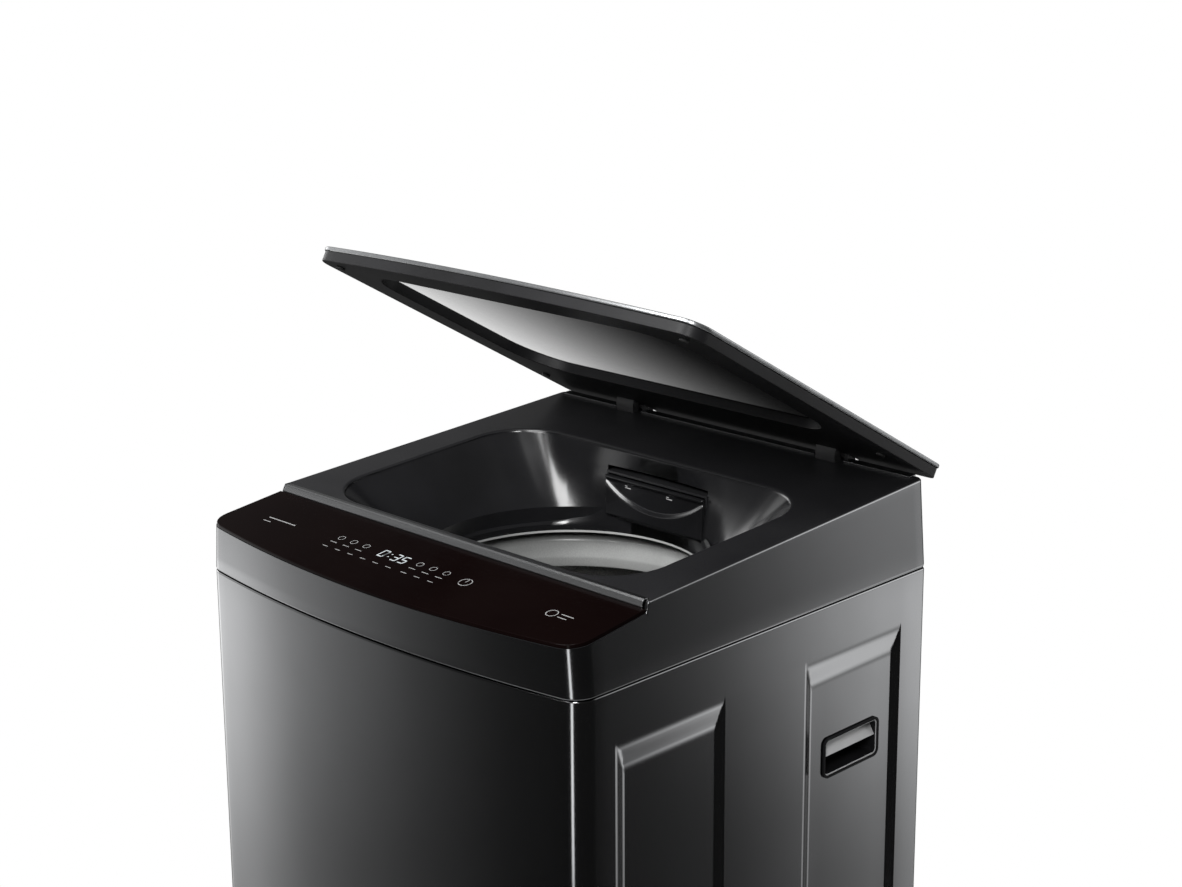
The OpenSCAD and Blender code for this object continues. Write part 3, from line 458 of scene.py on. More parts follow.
RECESS_D = 6 * MM
BEVEL_NEAR, BEVEL_FAR, BEVEL_Z = 14 * MM, 7 * MM, 27 * MM
RECESSES = ((FRONT_Y + 73 * MM, FRONT_Y + 224 * MM), (FRONT_Y + 350 * MM, FRONT_Y + 507 * MM))
RECESS_LOW, RECESS_HIGH = 110 * MM, SEAM_Z - 57 * MM
HANDLE_Y = FRONT_Y + 432.5 * MM
HANDLE_Z = SEAM_Z - 171.5 * MM


def recess_depth(y, z):
    depth = 0.0
    for front, back in RECESSES:
        across = min(soft_step((y - front) / BEVEL_NEAR), soft_step((back - y) / BEVEL_FAR))
        up = soft_step(min(z - RECESS_LOW, RECESS_HIGH - z) / BEVEL_Z)
        depth = max(depth, RECESS_D * min(across, up))
    return depth


def cabinet():
    side_ys = [FRONT_Y + 60 * MM, FRONT_Y + 287 * MM, HANDLE_Y - 44 * MM, HANDLE_Y + 44 * MM]
    for front, back in RECESSES:
        side_ys += [front + BEVEL_NEAR * t for t in RAMP_STOPS]
        side_ys += [back - BEVEL_FAR * t for t in RAMP_STOPS]
        side_ys += [front + (back - front) * t for t in (0.35, 0.5, 0.65)]
    side_ys = sorted(y for y in side_ys)
    flange = HALF_W - 28 * MM
    levels = [SHELL_LOW, SHELL_LOW + 20 * MM] + [RECESS_LOW + BEVEL_Z * t for t in RAMP_STOPS]
    levels += [250 * MM, 380 * MM, 520 * MM, HANDLE_Z - 20 * MM, HANDLE_Z + 20 * MM, 720 * MM]
    levels += [RECESS_HIGH - BEVEL_Z * t for t in reversed(RAMP_STOPS)]
    levels += [SEAM_Z - 30 * MM, SEAM_Z - 2 * MM]
    outline = plan(0, HALF_W, side_ys)
    rows = []
    for z in levels:
        row = []
        for x, y, nx, ny in outline:
            inward = recess_depth(y, z) if abs(nx) == 1 else 0.0
            row.append((x - nx * inward, y, z))
        rows.append(row)
    for inset, drop in ((0.15, 1.0), (0.6, 0.3), (1.5, 0), (12, 0)):
        rows.append([(x - nx * inset * MM, y - ny * inset * MM, SEAM_Z - drop * MM)
                     for x, y, nx, ny in outline])
    flange_rows = [
        [(x, y, z) for z in levels]
        for x, y in ((-HALF_W + REAR_R, BACK_Y), (-flange, BACK_Y))
    ]

    def keep(i, j):
        y0, y1 = outline[j][1], outline[j + 1][1]
        on_side = abs(outline[j][2]) == 1 and abs(outline[j + 1][2]) == 1
        low, high = rows[i][0][2], rows[i + 1][0][2]
        inside_y = min(y0, y1) > HANDLE_Y - 45 * MM and max(y0, y1) < HANDLE_Y + 45 * MM
        inside_z = low > HANDLE_Z - 21 * MM and high < HANDLE_Z + 21 * MM
        return not (on_side and inside_y and inside_z)

    build = Builder()
    build.grid(rows, keep=keep)
    build.grid(flange_rows)
    build.grid([[(-x, y, z) for x, y, z in row] for row in flange_rows])
    piece = build.make("cabinet_body", "cabinet", M["paint"], 40)
    thicken(piece, SHEET * 0.98)
    bake(piece)
    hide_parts("cabinet_shell")


cabinet()


# ---------------------------------------------------------------- top cover

def lean(x, height):
    """Where a plan point at x goes on the leaning walls, height above the seam."""
    return x / math.cos(COVER_LEAN) * (1 - height * math.tan(COVER_LEAN) / HALF_W)


def cover_top(y):
    """Height of the wall's top edge, the ledge under the control glass included."""
    ledge = panel_at(y) - PANEL_T
    if y <= GLASS_BACK:
        return ledge
    if y >= TRIM_BACK:
        return deck_at(y)
    t = (y - GLASS_BACK) / (TRIM_BACK - GLASS_BACK)
    rise = min(1.0, 2.2 * t)
    return ledge + (deck_at(TRIM_BACK) - ledge) * rise


def rect_ray(w, d, r, angle):
    """Distance from the middle of a rounded rectangle to its edge, along angle."""
    c, s = abs(math.cos(angle)), abs(math.sin(angle))
    hw, hd = w / 2, d / 2
    to_side = hw / c if c > 1e-9 else 1e9
    to_end = hd / s if s > 1e-9 else 1e9
    if to_side * s <= hd - r:
        return to_side
    if to_end * c <= hw - r:
        return to_end
    px, py = hw - r, hd - r
    b = px * c + py * s
    return b + math.sqrt(max(0.0, b * b - (px * px + py * py - r * r)))


def mouth_angles():
    """Directions round the mouth, closer together at its corners."""
    corner = math.atan2(MOUTH_D / 2 - MOUTH_R * 0.3, MOUTH_W / 2 - MOUTH_R * 0.3)
    spread = 0.24
    quarter = spaced(0, corner - spread, 8) + spaced(corner - spread, corner + spread, 16)[1:]
    quarter += spaced(corner + spread, math.pi / 2, 8)[1:]
    angles = quarter + [math.pi - a for a in reversed(quarter)][1:]
    return angles + [a + math.pi for a in angles[1:-1]]


def mouth_ring(grow, z_offset, blend, angles):
    """A ring between the deck opening (blend 0) and the round lip (blend 1)."""
    ring = []
    for a in angles:
        top_r = rect_ray(MOUTH_W + 2 * grow, MOUTH_D + 2 * grow, MOUTH_R + grow, a)
        tx, ty = top_r * math.cos(a), MOUTH_Y + top_r * math.sin(a)
        bx, by = (LIP_R + grow) * math.cos(a), TUB.y + (LIP_R + grow) * math.sin(a)
        tz, bz = deck_at(ty), SEAM_Z
        x, y, z = (p + (q - p) * blend for p, q in ((tx, bx), (ty, by), (tz, bz)))
        ring.append((x, y, z + z_offset))
    return ring


POCKET_HALF = 20.6 * MM
POCKET_Y = BACK_Y - 25 * MM
POCKET_LOW = deck_at(BACK_Y) - 24.4 * MM
EDGE_R = 3 * MM


def cover():
    rear_xs = []
    for side in (-1, 1):
        rear_xs += [side * HINGE_X - POCKET_HALF, side * HINGE_X + POCKET_HALF]
    rear_xs = [x / math.cos(COVER_LEAN) for x in rear_xs] + [-0.06, 0, 0.06]
    step_ys = spaced(GLASS_BACK, TRIM_BACK, 6)
    side_ys = (step_ys + spaced(TRIM_BACK + 20 * MM, BACK_Y - 20 * MM, 10)
               + spaced(FRONT_Y + 60 * MM, GLASS_BACK - 20 * MM, 3))
    outline = plan(0, HALF_W * math.cos(COVER_LEAN), side_ys, 40, rear_xs)
    outline.append(outline[0])
    base = SEAM_Z + SEAM_GAP
    notch_level = (POCKET_LOW - base) / (cover_top(BACK_Y) - EDGE_R - base)
    fractions = [0, 0.03, 0.3, 0.55, notch_level, 0.9, 1]

    def wall_point(p, z, inset):
        x, y, nx, ny = p
        return (lean(x, z - SEAM_Z) - nx * inset, y - ny * inset, z)

    rows = [[wall_point(p, base, 4 * MM) for p in outline], [wall_point(p, base, 0.8 * MM) for p in outline]]
    for f in fractions[1:]:
        row = []
        for p in outline:
            top = cover_top(p[1]) - (EDGE_R if p[1] > GLASS_BACK else 0)
            row.append(wall_point(p, base + f * (top - base), 0))
        rows.append(row)
    for k in range(1, 6):
        a = math.radians(18 * k)
        row = []
        for p in outline:
            on_deck = p[1] > GLASS_BACK
            inset = EDGE_R * (1 - math.cos(a)) if on_deck else 4 * MM * k / 5
            z = cover_top(p[1]) - (EDGE_R * (1 - math.sin(a)) if on_deck else 0)
            row.append(wall_point(p, z, inset))
        rows.append(row)
    first_notch_row = 2 + fractions.index(notch_level) - 1

    def keep(i, j):
        x = (rows[i][j][0] + rows[i][j + 1][0]) / 2
        at_back = outline[j][3] == 1 and outline[j + 1][3] == 1
        return not (at_back and abs(abs(x) - HINGE_X) < POCKET_HALF * 0.9 and i >= first_notch_row)

    build = Builder()
    build.grid(rows, keep=keep)
    rim = [p for p, o in zip(rows[-1][:-1], outline[:-1]) if o[1] > TRIM_BACK - 1e-6]
    deck_outline = []
    for p in sorted((q for q in rim if q[0] >= 0 and q[1] < BACK_Y - EDGE_R * 1.5), key=lambda q: q[1]):
        deck_outline.append(p)
    rear = sorted((q for q in rim if q[1] >= BACK_Y - EDGE_R * 1.5), key=lambda q: -q[0])
    for p in rear:
        near = min((abs(abs(p[0]) - HINGE_X - s * POCKET_HALF), s) for s in (-1, 1))
        if near[0] < 1 * MM:
            inner = (p[0], POCKET_Y, deck_at(POCKET_Y))
            side = 1 if p[0] > 0 else -1
            entering = (near[1] * side) > 0
            deck_outline += [p, inner] if entering else [inner, p]
        else:
            deck_outline.append(p)
    for p in sorted((q for q in rim if q[0] < 0 and q[1] < BACK_Y - EDGE_R * 1.5), key=lambda q: -q[1]):
        deck_outline.append(p)
    for side in (-1, 1):
        x0, x1 = side * HINGE_X - POCKET_HALF, side * HINGE_X + POCKET_HALF
        wall = [(x0, BACK_Y), (x0, POCKET_Y), (x1, POCKET_Y), (x1, BACK_Y)]
        build.grid([[(x, y, POCKET_LOW) for x, y in wall], [(x, y, deck_at(y) - 0.2 * MM) for x, y in wall]])

    angles = mouth_angles()
    round_r = 4 * MM
    mouth_rows = []
    for k in range(6):
        a = math.radians(18 * k)
        mouth_rows.append(mouth_ring(round_r * (1 - math.sin(a)), -round_r * (1 - math.cos(a)), 0, angles))
    for blend in (0.2, 0.4, 0.6, 0.75, 0.88, 0.95, 1.0):
        mouth_rows.append(mouth_ring(0, -round_r * (1 - blend), blend, angles))
    for drop in (4 * MM, LIP_DROP - 3 * MM, LIP_DROP - 0.5 * MM):
        mouth_rows.append(mouth_ring(0, -drop, 1, angles))
    for grow, lift in ((0.4, 0.3), (1.4, 0.0), (2.5, 0.4), (3.0, 1.5)):
        mouth_rows.append(mouth_ring(grow * MM, lift * MM - LIP_DROP, 1, angles))
    mouth_rows.append(mouth_ring(3 * MM, 0.02, 1, angles))
    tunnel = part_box("drawer_front")

    def mouth_keep(i, j):
        x, y, z = mouth_rows[i][j]
        x1, y1, z1 = mouth_rows[i + 1][(j + 1) % len(angles)]
        middle = Vector(((x + x1) / 2, (y + y1) / 2, (z + z1) / 2))
        inside = abs(middle.x) < tunnel[1].x and tunnel[0].z - 4 * MM < middle.z < tunnel[1].z + 4 * MM
        return not (inside and middle.y > TUB.y)

    build.grid(mouth_rows, wrap=True, keep=mouth_keep)
    build.fill(deck_outline, [mouth_rows[0]])
    piece = build.make("cover_body", "cabinet", M["cover"], 40)
    piece.data.materials.append(M["gloss_black"])
    piece.data.materials.append(M["wall"])
    piece.data.materials.append(M["ring"])
    for polygon in piece.data.polygons:
        x, y, z = polygon.center
        reach = math.atan2(y - MOUTH_Y, x)
        edge = rect_ray(MOUTH_W, MOUTH_D, MOUTH_R, reach)
        # The lip's lowest band takes the light ring plastic: a painted highlight standing for the bright arc
        # along the lip.
        if z < SEAM_Z - LIP_DROP + 3 * MM and math.hypot(x, y - TUB.y) < LIP_R + 2 * MM:
            polygon.material_index = 3
        elif math.hypot(x, y - MOUTH_Y) < edge + 0.5 * MM:
            polygon.material_index = 1
        elif abs(polygon.normal.z) < 0.6:
            polygon.material_index = 2
    weighted(piece)
    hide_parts("top_cover")

    def on_rail(x, y, z):
        return (x, y, deck_at(y) + z)

    gap = POCKET_HALF
    for name, x0, x1 in (("left", -262 * MM, -HINGE_X - gap), ("middle", -HINGE_X + gap, HINGE_X - gap),
                         ("right", HINGE_X + gap, 262 * MM)):
        near, far = BACK_Y - 12.2 * MM, BACK_Y - 1.2 * MM
        strip = [(x0, near), (x1, near), (x1, far), (x0, far)]
        rail = plate("cover_rail_" + name, "cabinet", M["trim"], strip, -0.6 * MM, 2.4 * MM, 0.7 * MM,
                     place=on_rail)


# ---------------------------------------------------------------- flat plates with rounded rims

def plate(name, body, material, outline, low, high, rim, holes=(), place=None, steps=3):
    """A flat plate between heights low and high, its top and bottom rims rounded by rim."""
    build = Builder()

    def move(x, y, z):
        return place(x, y, z) if place else (x, y, z)

    def shrink(loop, inset):
        n = len(loop)
        out = []
        for i in range(n):
            a, b, c = Vector(loop[i - 1]), Vector(loop[i]), Vector(loop[(i + 1) % n])
            n1 = Vector((-(b - a).y, (b - a).x)).normalized()
            n2 = Vector((-(c - b).y, (c - b).x)).normalized()
            m = (n1 + n2)
            m = m / max(0.3, m.length_squared / 2)
            out.append(tuple(b + m * inset))
        return out

    levels = []
    for k in range(steps + 1):
        a = math.radians(90 * k / steps)
        levels.append((rim * (1 - math.sin(a)), low + rim * (1 - math.cos(a))))
    for k in range(steps + 1):
        a = math.radians(90 * k / steps)
        levels.append((rim * (1 - math.cos(a)), high - rim * (1 - math.sin(a))))
    loops = [list(outline)] + [list(h) for h in holes]
    ends = []
    for index, loop in enumerate(loops):
        rows = [[move(*p, z) for p in shrink(loop, inset)] for inset, z in levels]
        build.grid(rows, wrap=True)
        ends.append((shrink(loop, levels[0][0]), shrink(loop, levels[-1][0])))
    for which, z in ((0, low), (1, high)):
        flat = [e[which] for e in ends]
        starts = [sum(len(l) for l in flat[:i]) for i in range(len(flat))]
        polygons = [[Vector((p[0], p[1], 0)) for p in loop] for loop in flat]
        build.add([move(*p, z) for loop in flat for p in loop], tessellate_polygon(polygons))
    piece = build.make(name, body, material, 50)
    weighted(piece)
    return piece


cover()


def on_lid(x, u, w):
    """A point of the lid, u forward of the hinge line and w outward, at the resting angle."""
    c, s = math.cos(LID_REST), math.sin(LID_REST)
    return (x, PIVOT.y - u * c + w * s, PIVOT.z + u * s + w * c)


def lid_outline(inset):
    """Outline of the lid as (x, u), anticlockwise."""
    half, r, tail_r = LID_W / 2, 25 * MM, 12 * MM
    cx = half - r
    bow = (cx ** 2 + LID_BOW ** 2) / (2 * LID_BOW)
    bow_u = LID_REACH + LID_BOW - bow
    cu = bow_u + math.sqrt((bow - r) ** 2 - cx ** 2)
    swing = math.degrees(math.asin(cx / (bow - r)))
    points = arc(half - tail_r, -LID_TAIL + tail_r, tail_r - inset, -90, 0, 5)
    points += arc(cx, cu, r - inset, 0, 90 - swing, 8)
    points += arc(0, bow_u, bow - inset, 90 - swing, 90 + swing, 40)[1:-1]
    points += arc(-cx, cu, r - inset, 90 + swing, 180, 8)
    points += arc(-half + tail_r, -LID_TAIL + tail_r, tail_r - inset, 180, 270, 5)
    return points


WINDOW_W = 460 * MM
WINDOW_NEAR, WINDOW_FAR = 105 * MM, 404 * MM


# ---------------------------------------------------------------- cutting

def cut_boxes(piece, boxes, place=None):
    """Cuts boxes of (low corner, high corner) out of a piece, before its modifiers."""
    for lo, hi in boxes:
        mesh = bpy.data.meshes.new("cutter")
        corners = [(x, y, z) for x in (lo[0], hi[0]) for y in (lo[1], hi[1]) for z in (lo[2], hi[2])]
        corners = [place(*c) if place else c for c in corners]
        faces = ((0, 1, 3, 2), (4, 6, 7, 5), (0, 4, 5, 1), (2, 3, 7, 6), (0, 2, 6, 4), (1, 5, 7, 3))
        mesh.from_pydata(corners, [], faces)
        bm = bmesh.new()
        bm.from_mesh(mesh)
        bmesh.ops.recalc_face_normals(bm, faces=bm.faces)
        bm.to_mesh(mesh)
        bm.free()
        cutter = bpy.data.objects.new("cutter", mesh)
        bpy.context.scene.collection.objects.link(cutter)
        modifier = piece.modifiers.new("cut", "BOOLEAN")
        modifier.solver = "EXACT"
        modifier.object = cutter
        kept = [m for m in piece.modifiers if m != modifier]
        shown = [m.show_viewport for m in kept]
        for m in kept:
            m.show_viewport = False
        graph = bpy.context.evaluated_depsgraph_get()
        graph.update()
        result = bpy.data.meshes.new_from_object(piece.evaluated_get(graph))
        for m, was in zip(kept, shown):
            m.show_viewport = was
        piece.modifiers.remove(modifier)
        old = piece.data
        name = old.name
        piece.data = result
        bpy.data.meshes.remove(old)
        result.name = name
        bpy.data.objects.remove(cutter)
        bpy.data.meshes.remove(mesh)


# ---------------------------------------------------------------- control panel

def on_panel(x, y, z):
    """A point at height z over the control glass; x follows the leaning side walls."""
    top = panel_at(y)
    return (lean(x, top + z - SEAM_Z), y, top + z)


def panel():
    outline = plan(0.6 * MM, HALF_W * math.cos(COVER_LEAN), spaced(FRONT_Y + 60 * MM, GLASS_BACK, 4)[:-1])
    front = [(x, y) for x, y, nx, ny in outline if y < GLASS_BACK - 2 * MM]
    side = HALF_W * math.cos(COVER_LEAN) - 0.6 * MM
    front = [(side, GLASS_BACK - 0.4 * MM)] + front + [(-side, GLASS_BACK - 0.4 * MM)]
    glass = plate("control_panel", "cabinet", control_black(), list(reversed(front)), -PANEL_T, 0, 0.7 * MM,
                  place=on_panel)
    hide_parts("control_glass")


def control_black():
    material, tree, shader = new_material("control_glass_black")
    drift = noise(tree, 6, 2.0)
    tree.links.new(ramp(tree, drift, ((0.3, (0.0020, 0.0009, 0.0009)), (0.7, (0.0032, 0.0016, 0.0015)))),
                   shader.inputs["Base Color"])
    smear = noise(tree, 40, 4.0, (1, 3, 1))
    tree.links.new(ramp(tree, smear, ((0.3, grey(0.10)), (0.8, grey(0.17)))), shader.inputs["Roughness"])
    shader.inputs["Specular IOR Level"].default_value = 0.04
    return material


SEGMENTS = {
    "0": "abcdef", "1": "bc", "2": "abged", "3": "abgcd", "4": "fgbc", "5": "afgcd", "8": "abcdefg",
}


def marks():
    """Printed and lit marks on the panel: a clock readout, touch rings and rules, all generic."""
    build = Builder()
    lit = Builder()

    def flat(target, points, y0):
        """A thin tile lying on the glass from points given about y0."""
        low = [on_panel(x, y0 + y, 0.01 * MM) for x, y in points]
        high = [on_panel(x, y0 + y, 0.05 * MM) for x, y in points]
        n = len(points)
        target.add(low + high, [tuple(range(n, 2 * n)), tuple(reversed(range(n)))] + [
            (i, (i + 1) % n, n + (i + 1) % n, n + i) for i in range(n)])

    def bar(target, cx, cy, w, h, y0):
        flat(target, [(cx - w / 2, cy - h / 2), (cx + w / 2, cy - h / 2), (cx + w / 2, cy + h / 2),
                      (cx - w / 2, cy + h / 2)], y0)

    def ring(target, cx, cy, r, thick, y0):
        n = 28
        for i in range(n):
            a, b = 2 * math.pi * i / n, 2 * math.pi * (i + 1) / n
            flat(target, [(cx + q * math.cos(t), cy + q * math.sin(t)) for q, t in
                          ((r, a), (r, b), (r - thick, b), (r - thick, a))], y0)

    mid = FRONT_Y + 64 * MM
    bar(build, -205 * MM, 0, 44 * MM, 1.4 * MM, mid)
    bar(build, -221 * MM, -8 * MM, 12 * MM, 1.0 * MM, mid)
    w, h, t = 7 * MM, 13 * MM, 1.5 * MM
    strokes = {"a": (0, h / 2, w, t), "g": (0, 0, w, t), "d": (0, -h / 2, w, t),
               "f": (-w / 2, h / 4, t, h / 2), "b": (w / 2, h / 4, t, h / 2),
               "e": (-w / 2, -h / 4, t, h / 2), "c": (w / 2, -h / 4, t, h / 2)}
    for digit, cx in (("0", -42), ("3", -22), ("5", -10)):
        for key in SEGMENTS[digit]:
            dx, dy, sw, sh = strokes[key]
            bar(lit, cx * MM + dx, 4 * MM + dy, sw, sh, mid)
    for dy in (-3, 3):
        bar(lit, -32 * MM, (4 + dy) * MM, 1.6 * MM, 1.6 * MM, mid)
    for i, cx in enumerate((-112, -92, -72)):
        ring(build, cx * MM, 6 * MM, 4.2 * MM, 0.7 * MM, mid)
        bar(build, cx * MM, -5 * MM, 10 * MM, 0.9 * MM, mid)
    for i, cx in enumerate((12, 32, 52)):
        ring(build, cx * MM, 6 * MM, 4.2 * MM, 0.7 * MM, mid)
        bar(build, cx * MM, -5 * MM, 10 * MM, 0.9 * MM, mid)
    for cx in (-112, -92, -72, -52, -32, -12, 12, 32, 52):
        bar(build, cx * MM, -16 * MM, 8 * MM, 0.9 * MM, mid)
    ring(build, 84 * MM, 2 * MM, 7.5 * MM, 0.9 * MM, mid)
    bar(build, 84 * MM, 5 * MM, 0.9 * MM, 6 * MM, mid)
    ring(build, 208 * MM, 0, 6.5 * MM, 0.9 * MM, mid)
    bar(build, 226 * MM, 3 * MM, 16 * MM, 1.2 * MM, mid)
    bar(build, 224 * MM, -3 * MM, 12 * MM, 1.0 * MM, mid)
    print_ink = textured("panel_print", (0.20, 0.20, 0.20), (0.28, 0.28, 0.28), (0.4, 0.5), 200)
    glow = textured("readout", (0.30, 0.32, 0.33), (0.38, 0.40, 0.41), (0.4, 0.5), 200)
    shader = glow.node_tree.nodes["Principled BSDF"]
    shader.inputs["Emission Color"].default_value = (0.75, 0.85, 0.9, 1)
    shader.inputs["Emission Strength"].default_value = 0.12
    for piece in (build.make("panel_marks", "cabinet", print_ink, merge=0.001 * MM),
                  lit.make("panel_readout", "cabinet", glow, merge=0.001 * MM)):
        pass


panel()
marks()
softened("panel_trim", M["trim"], 0.5 * MM, 3)


# ---------------------------------------------------------------- lid

def smoked_glass_painted_gradient():
    material, tree, shader = new_material("smoked_lid_glass_painted_gradient")
    shader.inputs["Base Color"].default_value = (0.02, 0.021, 0.022, 1)
    smear = noise(tree, 30, 4.0)
    tree.links.new(ramp(tree, smear, ((0.3, grey(0.03)), (0.8, grey(0.07)))), shader.inputs["Roughness"])
    shader.inputs["Coat Weight"].default_value = 0.3
    clear = add(tree, "ShaderNodeBsdfTransparent")
    # The see-through colour runs from nearly clear at -x to nearly black at +x. This is a painted gradient of
    # light and shade across the window, not a property of the smoked glass.
    split = add(tree, "ShaderNodeSeparateXYZ")
    tree.links.new(coordinates(tree), split.inputs["Vector"])
    span = add(tree, "ShaderNodeMapRange")
    span.inputs["From Min"].default_value = -0.24
    span.inputs["From Max"].default_value = 0.24
    tree.links.new(split.outputs["X"], span.inputs["Value"])
    stops = ((0.0, 0.95), (0.35, 0.55), (0.6, 0.30), (0.82, 0.10), (1.0, 0.03))
    painted_light_gradient = ramp(tree, span.outputs["Result"], [(place, grey(v)) for place, v in stops])
    tree.links.new(painted_light_gradient, clear.inputs["Color"])
    mix = add(tree, "ShaderNodeMixShader")
    mix.inputs["Fac"].default_value = 0.12
    tree.links.new(clear.outputs["BSDF"], mix.inputs[1])
    tree.links.new(shader.outputs["BSDF"], mix.inputs[2])
    tree.links.new(mix.outputs["Shader"], tree.nodes["Material Output"].inputs["Surface"])
    return material


def lid():
    glass = plate("lid_pane", "lid", smoked_glass_painted_gradient(), lid_outline(0), LID_GLASS_LOW, LID_TOP, 1.3 * MM,
                  place=on_lid)
    glass.data.materials.append(M["edge"])
    facing = Vector(on_lid(0, 0, 1)) - Vector(on_lid(0, 0, 0))
    # Faces across the pane's edge take the light grey: a painted highlight along the lid's edge.
    for polygon in glass.data.polygons:
        if abs(polygon.normal.dot(facing)) < 0.8:
            polygon.material_index = 1
    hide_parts("lid_glass")
    hole = rounded_rect(WINDOW_W, WINDOW_FAR - WINDOW_NEAR, 58 * MM, 0, (WINDOW_NEAR + WINDOW_FAR) / 2, 10)
    frame_piece = plate("lid_surround", "lid", M["lid_black"], lid_outline(1.5 * MM), LID_UNDER,
                        LID_GLASS_LOW, 0.9 * MM, [list(reversed(hole))], on_lid)
    boxes = [((240 * MM, 384 * MM, 1 * MM), (258 * MM, 418 * MM, 7 * MM))]
    for side in (-1, 1):
        x = side * HINGE_X
        boxes.append(((x - 21.8 * MM, -31 * MM, -4 * MM), (x + 21.8 * MM, 9 * MM, 16 * MM)))
        boxes.append(((x - 13.9 * MM, -8 * MM, 3.7 * MM), (x + 13.9 * MM, 62 * MM, 16 * MM)))
        boxes.append(((x - 13.9 * MM, -5 * MM, -4 * MM), (x + 13.9 * MM, 25 * MM, 16 * MM)))
    cut_boxes(frame_piece, boxes, on_lid)
    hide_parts("lid_frame")
    border = plate("lid_border_print", "lid", M["lid_black"], lid_outline(3 * MM), LID_GLASS_LOW + 0.3 * MM,
                   LID_GLASS_LOW + 0.5 * MM, 0.05 * MM, [list(reversed(hole))], on_lid)


lid()
softened("hinge_arms", M["hinge"], 0.8 * MM, 3)
softened("hinge_housings", M["hinge"], 0.8 * MM, 3)
softened("lid_bumpers", M["rubber"], 0.8 * MM, 3)


# ---------------------------------------------------------------- drawer, handles, base, back

def drawer_face():
    lo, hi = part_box("drawer_front")
    grip_r, dip, edge = 120 * MM, 33 * MM, 1.6 * MM
    xs = spaced(lo.x, hi.x, 120)
    xs = [lo.x + edge * t for t in (0, 0.15, 0.4, 0.7)] + [x for x in xs if lo.x + edge < x < hi.x - edge]
    xs += [hi.x - edge * t for t in (0.7, 0.4, 0.15, 0)]
    zs = spaced(lo.z, hi.z, 60)
    zs = [lo.z + edge * t for t in (0, 0.15, 0.4, 0.7)] + [z for z in zs if lo.z + edge < z < hi.z - edge]
    zs += [hi.z - edge * t for t in (0.7, 0.4, 0.15, 0)]
    middle_z = hi.z - dip + grip_r
    rows = []
    for z in zs:
        row = []
        for x in xs:
            inside = min(grip_r - math.hypot(x, z - middle_z), (hi.z - 2.5 * MM) - z)
            depth = 3 * MM * soft_step(inside / (3.5 * MM))
            rim = max(0.0, edge - min(x - lo.x, hi.x - x, z - lo.z, hi.z - z))
            depth += edge - math.sqrt(max(0.0, edge ** 2 - rim ** 2))
            row.append((x, lo.y + depth, z))
        rows.append(row)
    build = Builder()
    build.grid(rows)
    border = rows[0][:-1] + [row[-1] for row in rows][:-1] + rows[-1][:0:-1] + [row[0] for row in rows][:0:-1]
    build.grid([border, [(x, hi.y, z) for x, y, z in border]], wrap=True)
    build.add([(x, hi.y, z) for x in (lo.x, hi.x) for z in (lo.z, hi.z)], [(0, 1, 3, 2)])
    piece = build.make("drawer_face", "drawer", M["gloss_black"], 40)
    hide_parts("drawer_front")
    mark = Builder()
    y = lo.y + 2.97 * MM
    for cx in (-40, 23):
        for dx, dz, w, h in ((0, 0, 9, 1.1), (-2.5, 2.2, 4, 1.0)):
            x0, z0 = (cx + dx - w / 2) * MM, hi.z + (dz - 10.5) * MM
            mark.add([(x0, y, z0), (x0 + w * MM, y, z0), (x0 + w * MM, y, z0 + h * MM), (x0, y, z0 + h * MM)],
                     [(0, 1, 2, 3)])
    ink = textured("drawer_print", grey(0.4), grey(0.5), (0.4, 0.5), 200)
    tick = mark.make("drawer_marks", "drawer", ink)
    thicken(tick, 0.03 * MM, 1.0)


drawer_face()
for grip in ("handle_right", "handle_left"):
    piece = softened(grip, M["handle"], 0.4 * MM, 2)
    piece.data.materials.append(M["flap"])
    lo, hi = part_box(grip)
    for polygon in piece.data.polygons:
        # How deep the face lies behind the bezel, and how far it faces outward
        sunk = max(abs(lo.x), abs(hi.x)) - abs(polygon.center.x)
        out = polygon.normal.x * (1 if hi.x > 0 else -1)
        # Faces turned outward and up, and the rebate rim, take the light grey: painted light on the lit faces
        # of the grip.
        flap = out > 0.7 and polygon.normal.z > 0.3
        rim = out > 0.95 and 1.2 * MM < sunk < 2.2 * MM
        if flap or rim:
            polygon.material_index = 1
softened("base_frame", M["satin_black"], 1.0 * MM, 2)
softened("rear_panel", M["rear"], 0.3 * MM, 2)
softened("inlet_valve", M["white"], 0.7 * MM, 2)
softened("drain_spigot", M["satin_black"], 0.7 * MM, 2)
softened("cord_gland", M["rubber"], 0.7 * MM, 2)
softened("drawer_body", M["grey"], 0.7 * MM, 2)
for foot in ("foot_front_left", "foot_front_right", "foot_rear_left", "foot_rear_right"):
    softened(foot, M["rubber"], 1.0 * MM, 3)


# ---------------------------------------------------------------- tub and basket

def turned(name, node, material, profile, rounding, turns=144):
    """A lathe-turned closed ring standing for a node; profile in mm of (radius, z)."""
    points = [(r * MM, z * MM) for r, z in profile]
    closed = fillet(points + [points[0], points[1]], rounding, 3)
    closed = closed[1:-1]
    build = Builder()
    build.grid(lathe(closed, TUB, turns), wrap=True)
    piece = build.make(name, nodes[node]["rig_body"], material, 40)
    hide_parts(node)
    return piece


BASKET_R = 227
RING_TOP = 833
turned("balance_ring_turned", "balance_ring", M["ring"], [
    (BASKET_R - 1.3, RING_TOP - 43), (BASKET_R - 1.3, RING_TOP - 40), (BASKET_R + 3, RING_TOP - 40),
    (BASKET_R + 3, RING_TOP - 3), (BASKET_R, RING_TOP), (190, RING_TOP), (180, RING_TOP - 3),
    (175, RING_TOP - 10), (174, RING_TOP - 30), (178, RING_TOP - 43)], 2 * MM)
softened("tub_ring", M["tub"], 0.8 * MM, 2)
softened("pulsator", M["ring"], 3 * MM, 3)
softened("basket_base", M["ring"], 1.0 * MM, 2)
softened("lint_filter", M["white"], 1.0 * MM, 2)


